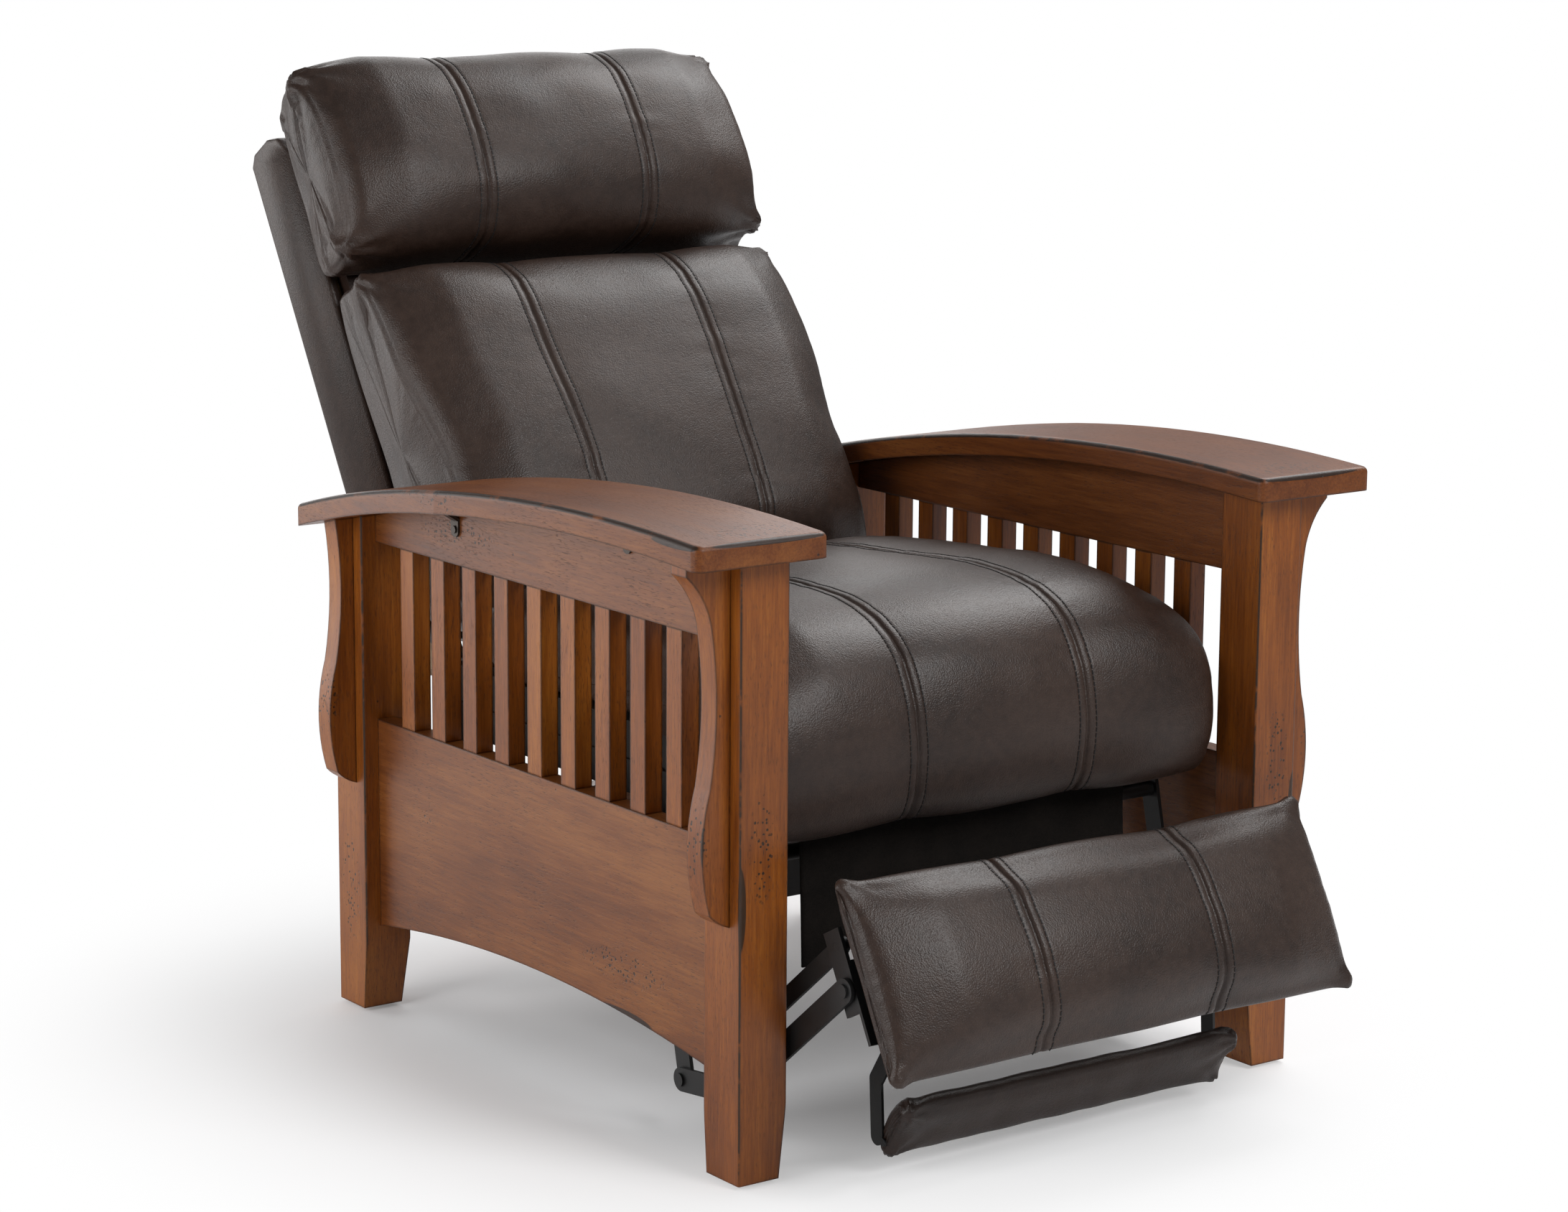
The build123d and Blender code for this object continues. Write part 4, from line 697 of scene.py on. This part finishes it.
def cushion(name, look, place, ringOf, finish="leather"):
    local, marks = skin(look, ringOf, look["step"], look["around"], True)
    points = place(local)
    if look["pressure"]:
        moved, coarseMarks = swelling(look, place, ringOf)
        free = look["free"](local[..., 1], local[..., 2])
        points = points + spread(moved, coarseMarks, marks, look["around"]) * free[..., None]
    points = sewn(points, local, marks, look)
    lines, normals = [], outward(points)
    for side in (-1, 1):
        for step in (-seamLook["stitchGap"], seamLook["stitchGap"]):
            row = np.argmin(np.abs(marks - side * (look["panel"] + step)))
            shown = look["free"](local[row, :, 1], local[row, :, 2]) > seamLook["shownFrom"]
            lines.append((points[row] + normals[row] * seamLook["stitchLift"], shown))
    seamLines[name] = lines
    return skinPiece(name, points, finish)


def softened(value, low, high):
    share = np.clip((value - low) / (high - low), 0, 1)
    return share * share * (3 - 2 * share)


# Seat cushion: profile up its back, over the top and down the roll, from the front posts' faces
seatLook = {
    "half": 0.285,
    "panel": 0.108,
    "endRound": 0.020,
    "step": 0.008,
    "around": 250,
    "coarse": 96,
    "pressure": 4.0,
    "cap": 0.024,
    "swell": 0.30,
    "seamDepth": 0.0024,
    "crown": 0.0050,
    "slow": 0.0020,
    "fold": 0.0009,
    "sideSeam": 0.0,
    "dome": 0.002,
    "seed": 3,
    "falls": (0.16, 0.62, 0.95),
    "foldStretch": (0.4, 1, 1),
    "drop": 0.030,
    "low": 0.306,
    "tall": 0.209,
    "corners": [],
    "narrow": lambda up, out: 0 * up,
    "free": lambda up, out: np.maximum(softened(out, 0.402, 0.425), softened(0.100 - up, 0.0, 0.02)),
}
seatProfile = [
    (0.540, 0.397), (0.566, 0.412), (0.572, 0.440), (0.558, 0.482), (0.500, 0.493), (0.438, 0.500),
    (0.370, 0.506), (0.300, 0.511), (0.240, 0.514), (0.183, 0.513), (0.137, 0.506), (0.104, 0.495),
    (0.078, 0.477), (0.060, 0.455), (0.048, 0.427), (0.042, 0.395), (0.041, 0.365), (0.045, 0.338),
    (0.053, 0.318), (0.064, 0.308),
    (0.084, 0.307), (0.097, 0.314), (0.100, 0.335), (0.100, 0.375), (0.112, 0.397), (0.200, 0.397),
    (0.370, 0.397),
]


def seatRing(fall, x):
    # only its upper half falls away towards the ends
    ring = []
    for y, z in seatProfile:
        share = max(0.0, 2 * (z - seatLook["low"]) / seatLook["tall"] - 1)
        ring.append((y, z - seatLook["drop"] * fall * share))
    return ring


seatCushion = cushion("seatCushion", seatLook, onSeat, seatRing)
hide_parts("seat_cushion")
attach(seatCushion, "seat")
print("seat cushion made")

# Lower back cushion: profile up its rear, over the top and down its front, in the back's own plane
backLook = {
    "half": 0.279,
    "panel": 0.110,
    "endRound": 0.009,
    "step": 0.008,
    "around": 240,
    "coarse": 90,
    "pressure": 4.0,
    "cap": 0.024,
    "swell": 0.28,
    "seamDepth": 0.0024,
    "crown": 0.0050,
    "slow": 0.0020,
    "fold": 0.0009,
    "sideSeam": 1.0,
    "dome": 0.006,
    "seed": 11,
    "falls": (0.14, 0.62, 0.93),
    "foldStretch": (0.5, 1, 1),
    "endShrink": 0.29,
    "corners": [
        (0.214, 0.066, 0.0034, 0.006), (0.224, 0.010, 0.0020, 0.004), (-0.168, 0.085, 0.0038, 0.003),
    ],
    # narrower at its rear and between the arms than at its upper front
    "narrow": lambda up, out: 0.016 * (1 - softened(out, -0.01, 0.10) * softened(up, -0.04, 0.12)),
    "free": lambda up, out: softened(out, 0.002, 0.030),
}
backProfile = [
    (-0.170, 0.001), (0.020, 0.001), (0.212, 0.001), (0.224, 0.008), (0.2275, 0.022), (0.229, 0.044),
    (0.226, 0.072), (0.219, 0.097), (0.200, 0.113), (0.160, 0.127), (0.100, 0.136), (0.000, 0.1465),
    (-0.080, 0.147), (-0.130, 0.1435), (-0.160, 0.124), (-0.176, 0.097), (-0.1785, 0.061), (-0.178, 0.024),
]


def backRing(fall, x):
    # its ends fall away less low down, where the arms hold them
    shrink = backLook["endShrink"]
    return [(a, b * (1 - shrink * fall * (0.70 + 0.30 * softened(a, -0.10, 0.20)))) for a, b in backProfile]


backCushion = cushion("backCushion", backLook, onBack, backRing)
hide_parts("back_cushion")
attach(backCushion, "back")
print("back cushion made")

# Head pillow, boxed at its sides, its corners pinched where the seams meet
pillowLook = {
    "half": 0.276,
    "panel": 0.108,
    "endRound": 0.008,
    "step": 0.008,
    "around": 190,
    "coarse": 76,
    "pressure": 4.0,
    "cap": 0.022,
    "swell": 0.26,
    "seamDepth": 0.0024,
    "crown": 0.0045,
    "slow": 0.0022,
    "fold": 0.0016,
    "sideSeam": 1.0,
    "dome": 0.008,
    "seed": 23,
    "falls": (0.14, 0.58, 0.92),
    "foldStretch": (0.7, 1, 1),
    "endShrink": 0.27,
    "drop": 0.016,
    "low": 0.249,
    "tall": 0.236,
    "corners": [
        (0.470, 0.074, 0.0042, 0.010), (0.440, 0.008, 0.0030, 0.007),
        (0.254, 0.070, 0.0044, 0.009), (0.250, 0.020, 0.0030, 0.004),
    ],
    "narrow": lambda up, out: 0.006 * (1 - np.clip(out / 0.07, 0, 1)),
    "free": lambda up, out: softened(out, 0.002, 0.026),
}
pillowProfile = [
    (0.256, 0.001), (0.329, 0.001), (0.404, 0.001), (0.440, 0.006), (0.467, 0.018), (0.482, 0.036),
    (0.485, 0.060), (0.480, 0.085), (0.460, 0.107), (0.420, 0.1255), (0.365, 0.132), (0.310, 0.128),
    (0.272, 0.110), (0.252, 0.088), (0.248, 0.055), (0.249, 0.022),
]


def pillowRing(fall, x):
    # its upper half falls away towards the ends, and it grows thinner there
    ring = []
    for a, b in pillowProfile:
        share = max(0.0, 2 * (a - pillowLook["low"]) / pillowLook["tall"] - 1)
        ring.append((a - pillowLook["drop"] * fall * share, b * (1 - pillowLook["endShrink"] * fall)))
    return ring


headPillow = cushion("headPillow", pillowLook, onBack, pillowRing)
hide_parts("head_pillow")
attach(headPillow, "back")
print("head pillow made")

# Footrest pad, thin at its ends where the cover is pulled round the board
padLook = {
    "half": 0.287,
    "panel": 0.110,
    "endRound": 0.005,
    "step": 0.008,
    "around": 170,
    "coarse": 60,
    "pressure": 3.0,
    "cap": 0.010,
    "swell": 0.30,
    "seamDepth": 0.0034,
    "crown": 0.0035,
    "slow": 0.0012,
    "fold": 0.0006,
    "sideSeam": 0.0,
    "dome": 0.001,
    "seed": 31,
    "falls": (0.18, 0.78, 0.97),
    "foldStretch": (0.6, 1, 1),
    "endShrink": 0.84,
    "corners": [(0.178, -0.002, 0.0016, 0.007), (-0.005, -0.004, 0.0016, 0.007)],
    "narrow": lambda up, out: 0 * up,
    "free": lambda up, out: softened(out, -0.0100, -0.0030),
}
padProfile = [
    (0.000, -0.0115), (0.088, -0.0115), (0.172, -0.0115), (0.181, -0.009), (0.183, -0.002),
    (0.180, 0.004), (0.170, 0.011), (0.148, 0.025), (0.118, 0.032), (0.078, 0.0355), (0.040, 0.031),
    (0.015, 0.021), (0.000, 0.005), (-0.008, -0.003), (-0.007, -0.009), (-0.004, -0.0112),
]


def padRing(fall, x):
    return [(a, b * (1 - padLook["endShrink"] * fall) if b > 0 else b) for a, b in padProfile]


footPad = cushion("footPad", padLook, onPad, padRing)
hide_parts("footrest_pad")
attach(footPad, "footrest")
print("foot pad made")

# Shell of the back: leather pulled over its panels, with soft edges
shellLook = {
    "half": 0.260,
    "low": -0.150,
    "high": 0.450,
    "rear": -0.106,
    "rearTop": -0.098,
    "front": -0.012,
    "topFront": -0.050,
    "rearBevel": 0.012,
    "topBevel": (0.009, 0.022),
    "frontBevel": 0.028,
    "round": 0.006,
    "wall": 0.012,
    "sharpFrom": 0.3,  # radians between faces
}


def backShell():
    look = shellLook
    low, high, bevel, top = look["low"], look["high"], look["rearBevel"], look["topBevel"]
    side = [
        (low, look["front"]), (low, look["rear"]), (high - bevel, look["rearTop"]),
        (high, look["rearTop"] + bevel), (high, look["topFront"]),
        (high - top[0], look["topFront"] + top[1]), (high - look["frontBevel"], look["front"]),
    ]
    points = onBack([(-look["half"], a, b) for a, b in side] + [(look["half"], a, b) for a, b in side])
    n = len(side)
    faces = [tuple(range(n)), tuple(range(2 * n - 1, n - 1, -1))]
    for k in range(1, n - 1):
        faces.append((k, k + n, k + n + 1, k + 1))
    piece = meshPiece("backShell", points, faces, "leather")
    work = bmesh.new()
    work.from_mesh(piece.data)
    bmesh.ops.recalc_face_normals(work, faces=work.faces)
    sharp = [e for e in work.edges if len(e.link_faces) == 2 and e.calc_face_angle() > look["sharpFrom"]]
    rounding = {"offset": look["round"], "segments": 4, "profile": 0.6, "affect": "EDGES"}
    bmesh.ops.bevel(work, geom=sharp, clamp_overlap=True, **rounding)
    bmesh.ops.recalc_face_normals(work, faces=work.faces)
    work.to_mesh(piece.data)
    work.free()
    wall = piece.modifiers.new("wall", "SOLIDIFY")
    wall.thickness = look["wall"]
    wall.offset = -1
    applyTo(piece)
    return piece


shell = backShell()
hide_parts("back_shell")
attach(shell, "back")
print("back shell made")

# Flipper board: leather folded round a thin board, with tucked ends
flipperLook = {
    "half": 0.210,
    "panel": 0.0,
    "endRound": 0.006,
    "step": 0.005,
    "around": 90,
    "pressure": 0,
    "slow": 0.0010,
    "fold": 0.0012,
    "crown": 0.0,
    "sideSeam": 0.6,
    "dome": 0.002,
    "seed": 41,
    "falls": (0.1, 0.4, 0.9),
    "foldStretch": (1.4, 0.6, 0.6),
    "corners": [(-0.028, 0.004, 0.0022, 0.003), (-0.088, 0.002, 0.0022, 0.002)],
    "narrow": lambda up, out: 0 * up,
    "free": lambda up, out: 0 * up + 1,
    "top": -0.025,
    "height": 0.066,
    "thick": 0.020,
    "middleOut": -0.006,
    "turn": 60.0,
    "hingeUp": 0.061,
    "hingeBehind": 0.049,
    "edgeRound": 0.006,
    "bulge": 0.0025,
}


def onFlipper(local):
    # the board is folded down about its hinge behind the pad
    look = flipperLook
    local = np.asarray(local, dtype=float)
    angle = math.radians(look["turn"])
    up, out = local[..., 1] - look["hingeUp"], local[..., 2] + look["hingeBehind"]
    turnedUp = up * math.cos(angle) - out * math.sin(angle) + look["hingeUp"]
    turnedOut = up * math.sin(angle) + out * math.cos(angle) - look["hingeBehind"]
    return onPad(np.stack([local[..., 0], turnedUp, turnedOut], axis=-1))


def flipperRing(fall, x):
    look = flipperLook
    bulge, r = look["bulge"] * (1 - fall), look["edgeRound"]
    low, high = look["top"] - look["height"], look["top"]
    rear, front = look["middleOut"] - look["thick"] / 2, look["middleOut"] + look["thick"] / 2
    return [
        (low + r, rear), (high - r, rear), (high, rear + r),
        (high, front - r), (high - r, front), ((low + high) / 2, front + bulge),
        (low + r, front), (low, front - r), (low, rear + r),
    ]


flipper = cushion("flipperCover", flipperLook, onFlipper, flipperRing, "darkLeather")
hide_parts("flipper_board")
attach(flipper, "flipper")

# Felt apron that hangs from the front rail
apronLook = {
    "half": 0.206,
    "top": 0.318,
    "middleDrop": 0.132,
    "cornerDrop": 0.146,
    "cornerWidth": 0.016,
    "curveWidth": 0.062,
    "front": 0.1035,
    "thick": 0.0024,
    "lean": 0.004,
    "waves": ((0.0022, 46, 0.8, 0), (0.0012, 103, 0, 2)),  # height, per metre, start, turn on the way down
    "columns": 90,
    "rows": 24,
}


def apronDrop(x):
    look = apronLook
    inner = look["half"] - look["cornerWidth"]
    start = inner - look["curveWidth"]
    if abs(x) <= start:
        return look["middleDrop"]
    if abs(x) >= inner:
        return look["cornerDrop"]
    share = (abs(x) - start) / look["curveWidth"]
    return look["middleDrop"] + (look["cornerDrop"] - look["middleDrop"]) * (1 - math.sqrt(1 - share**2))


def feltApron():
    look = apronLook
    columns, rows = look["columns"], look["rows"]
    points, faces, area = [], [], 0.0
    for i in range(columns + 1):
        x = -look["half"] + 2 * look["half"] * i / columns
        drop = apronDrop(x)
        area += drop * 2 * look["half"] / columns
        for k in range(rows + 1):
            share = k / rows
            wave = sum(h * math.sin(x * n + a + share * b) * share for h, n, a, b in look["waves"])
            y = look["front"] - frontFace + wave - look["lean"] * share
            points.append((x, y, look["top"] - drop * share))
    for i in range(columns):
        for k in range(rows):
            a = i * (rows + 1) + k
            faces.append((a, a + 1, a + rows + 2, a + rows + 1))
    piece = meshPiece("feltApron", points, faces, "felt")
    wall = piece.modifiers.new("wall", "SOLIDIFY")
    wall.thickness = look["thick"]
    wall.offset = 0
    applyTo(piece)
    return piece, area


apron, apronArea = feltApron()
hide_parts("felt_apron")
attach(apron, "seat")
print("flipper and apron made")


# Stitches: a tree that sets short threads along each line of a row
threadLook = {"Spacing": 0.0058, "Length": 0.0042, "Thickness": 0.00085}


def stitchTree():
    tree = bpy.data.node_groups.new("stitches", "GeometryNodeTree")
    tree.interface.new_socket(name="Geometry", in_out="INPUT", socket_type="NodeSocketGeometry")
    for label, value in threadLook.items():
        socket = tree.interface.new_socket(name=label, in_out="INPUT", socket_type="NodeSocketFloat")
        socket.default_value = value
    tree.interface.new_socket(name="Geometry", in_out="OUTPUT", socket_type="NodeSocketGeometry")

    def add(kind, **values):
        node = tree.nodes.new(kind)
        for key, value in values.items():
            setattr(node, key, value)
        return node

    start, end = add("NodeGroupInput"), add("NodeGroupOutput")
    line = add("GeometryNodeMeshToCurve")
    places = add("GeometryNodeCurveToPoints", mode="LENGTH")
    strand = add("GeometryNodeMeshCylinder")
    strand.inputs["Vertices"].default_value = 6
    laid = add("GeometryNodeInstanceOnPoints")
    real = add("GeometryNodeRealizeInstances")
    paint = add("GeometryNodeSetMaterial")
    paint.inputs["Material"].default_value = finishes["thread"]
    link = tree.links.new
    link(start.outputs["Geometry"], line.inputs[0])
    link(line.outputs[0], places.inputs["Curve"])
    link(start.outputs["Spacing"], places.inputs["Length"])
    link(start.outputs["Thickness"], strand.inputs["Radius"])
    link(start.outputs["Length"], strand.inputs["Depth"])
    link(places.outputs["Points"], laid.inputs["Points"])
    link(places.outputs["Rotation"], laid.inputs["Rotation"])
    link(strand.outputs["Mesh"], laid.inputs["Instance"])
    link(laid.outputs["Instances"], real.inputs[0])
    link(real.outputs[0], paint.inputs["Geometry"])
    link(paint.outputs[0], end.inputs[0])
    return tree


stitches = stitchTree()


def seamRows(source, name, body):
    # rows of stitches that lie on the finished cushion beside each seam
    points, edges = [], []
    for line, shown in seamLines[source]:
        start = len(points)
        points += [tuple(p) for p in line]
        count = len(line)
        for k in range(count):
            n = (k + 1) % count
            if shown[k] and shown[n]:
                edges.append((start + k, start + n))
    mesh = bpy.data.meshes.new(name)
    mesh.from_pydata(points, edges, [])
    row = bpy.data.objects.new(name, mesh)
    bpy.context.scene.collection.objects.link(row)
    sew = row.modifiers.new("sew", "NODES")
    sew.node_group = stitches
    applyTo(row)
    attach(row, body)
    return row


for source, name, body in (
    ("seatCushion", "seatStitches", "seat"),
    ("backCushion", "backStitches", "back"),
    ("headPillow", "pillowStitches", "back"),
    ("footPad", "padStitches", "footrest"),
):
    seamRows(source, name, body)
print("stitches sewn")

# Floor, light and camera
roomLook = {
    "floor": 14.0,
    "floorColour": (0.92, 0.92, 0.93),
    "world": 0.20,
    "mirrored": 0.05,
    "whiteFrom": 0.32,
    "whiteBy": 0.88,
    "lift": 0.12,
}


def buildRoom():
    # the camera sees the floor whiten with distance; other rays see it plain
    look = roomLook
    f = Finish("pale floor")
    f.finish(Base_Color=rgb(*look["floorColour"]), Roughness=0.9, Specular_IOR_Level=0.1)
    distance = f.add("ShaderNodeVectorMath", {"operation": "LENGTH"}, [f.place], "Value")
    far = distance.above(look["whiteFrom"], look["whiteBy"]) * (1 - look["lift"]) + look["lift"]
    rays = f.add("ShaderNodeLightPath", {}, {}, "Is Camera Ray")
    white = f.add("ShaderNodeEmission", {}, {"Strength": 1.0}, "Emission")
    plain = Field(f, f.shader.outputs[0])
    mixed = f.add("ShaderNodeMixShader", {}, [far * rays, plain, white], "Shader")
    f.links.new(mixed.socket, f.nodes["Material Output"].inputs["Surface"])
    size = look["floor"]
    corners = [(-size, -size, 0), (size, -size, 0), (size, size, 0), (-size, size, 0)]
    floor = meshPiece("floor", corners, [(0, 1, 2, 3)], "felt", False)
    floor.data.materials.clear()
    floor.data.materials.append(f.material)
    world = bpy.data.worlds.new("studio")
    world.use_nodes = True
    bpy.context.scene.world = world
    nodes, links = world.node_tree.nodes, world.node_tree.links
    sky = nodes["Background"]
    sky.inputs["Color"].default_value = (1, 1, 1, 1)
    sky.inputs["Strength"].default_value = look["world"]
    bright = nodes.new("ShaderNodeBackground")
    bright.inputs["Color"].default_value = (1, 1, 1, 1)
    bright.inputs["Strength"].default_value = 1.0
    path = nodes.new("ShaderNodeLightPath")
    gloss = nodes.new("ShaderNodeMath")
    gloss.operation = "MULTIPLY_ADD"
    gloss.inputs[1].default_value = look["mirrored"]
    seen = nodes.new("ShaderNodeMath")
    seen.operation = "MAXIMUM"
    links.new(path.outputs["Is Glossy Ray"], gloss.inputs[0])
    links.new(path.outputs["Is Camera Ray"], gloss.inputs[2])
    links.new(gloss.outputs[0], seen.inputs[0])
    links.new(path.outputs["Is Transmission Ray"], seen.inputs[1])
    mix = nodes.new("ShaderNodeMixShader")
    links.new(seen.outputs[0], mix.inputs[0])
    links.new(sky.outputs[0], mix.inputs[1])
    links.new(bright.outputs[0], mix.inputs[2])
    links.new(mix.outputs[0], nodes["World Output"].inputs["Surface"])


# Soft square lamps around the chair: place, side in metres and watts
lampAim = (0, 0, 0.45)
lamps = {
    "left": {"at": (-3.2, -0.1, 1.4), "size": 1.8, "power": 46},
    "front": {"at": (0.7, -3.1, 2.6), "size": 1.6, "power": 78},
    "top": {"at": (1.9, 0.5, 2.8), "size": 1.8, "power": 62},
    "rearLeft": {"at": (-2.2, 3.0, 0.8), "size": 2.4, "power": 56},
    "rearRight": {"at": (1.2, 2.9, 1.6), "size": 2.2, "power": 30},
}


def addLamps():
    for name, look in lamps.items():
        light = bpy.data.lights.new(name, "AREA")
        light.size = look["size"]
        light.energy = look["power"]
        lamp = bpy.data.objects.new(name, light)
        lamp.location = look["at"]
        aim = Vector(lampAim) - Vector(look["at"])
        lamp.rotation_euler = aim.to_track_quat("-Z", "Y").to_euler()
        bpy.context.scene.collection.objects.link(lamp)


# The camera where the photograph's was: its lens in millimetres, its turns in degrees
cameraLook = {
    "lens": 89.69,
    "at": (-2.384, -2.862 - frontFace, 1.251),
    "yaw": 36.04,
    "pitch": 11.08,
    "roll": 0.39,
}


def addCamera():
    look = cameraLook
    yaw, pitch, roll = (math.radians(look[key]) for key in ("yaw", "pitch", "roll"))
    ahead = Vector((math.sin(yaw) * math.cos(pitch), math.cos(yaw) * math.cos(pitch), -math.sin(pitch)))
    right = Vector((math.cos(yaw), -math.sin(yaw), 0))
    up = right.cross(ahead)
    turnedRight = right * math.cos(roll) + up * math.sin(roll)
    turnedUp = up * math.cos(roll) - right * math.sin(roll)
    turn = Matrix((turnedRight, turnedUp, -ahead)).transposed()
    lens = bpy.data.cameras.new("camera")
    lens.lens = look["lens"]
    lens.sensor_width = 36
    lens.clip_end = 50
    camera = bpy.data.objects.new("camera", lens)
    camera.matrix_world = Matrix.Translation(look["at"]) @ turn.to_4x4()
    bpy.context.scene.collection.objects.link(camera)
    bpy.context.scene.camera = camera


buildRoom()
addLamps()
addCamera()
bpy.context.scene.view_settings.view_transform = "Standard"
print("room, lamps and camera set")
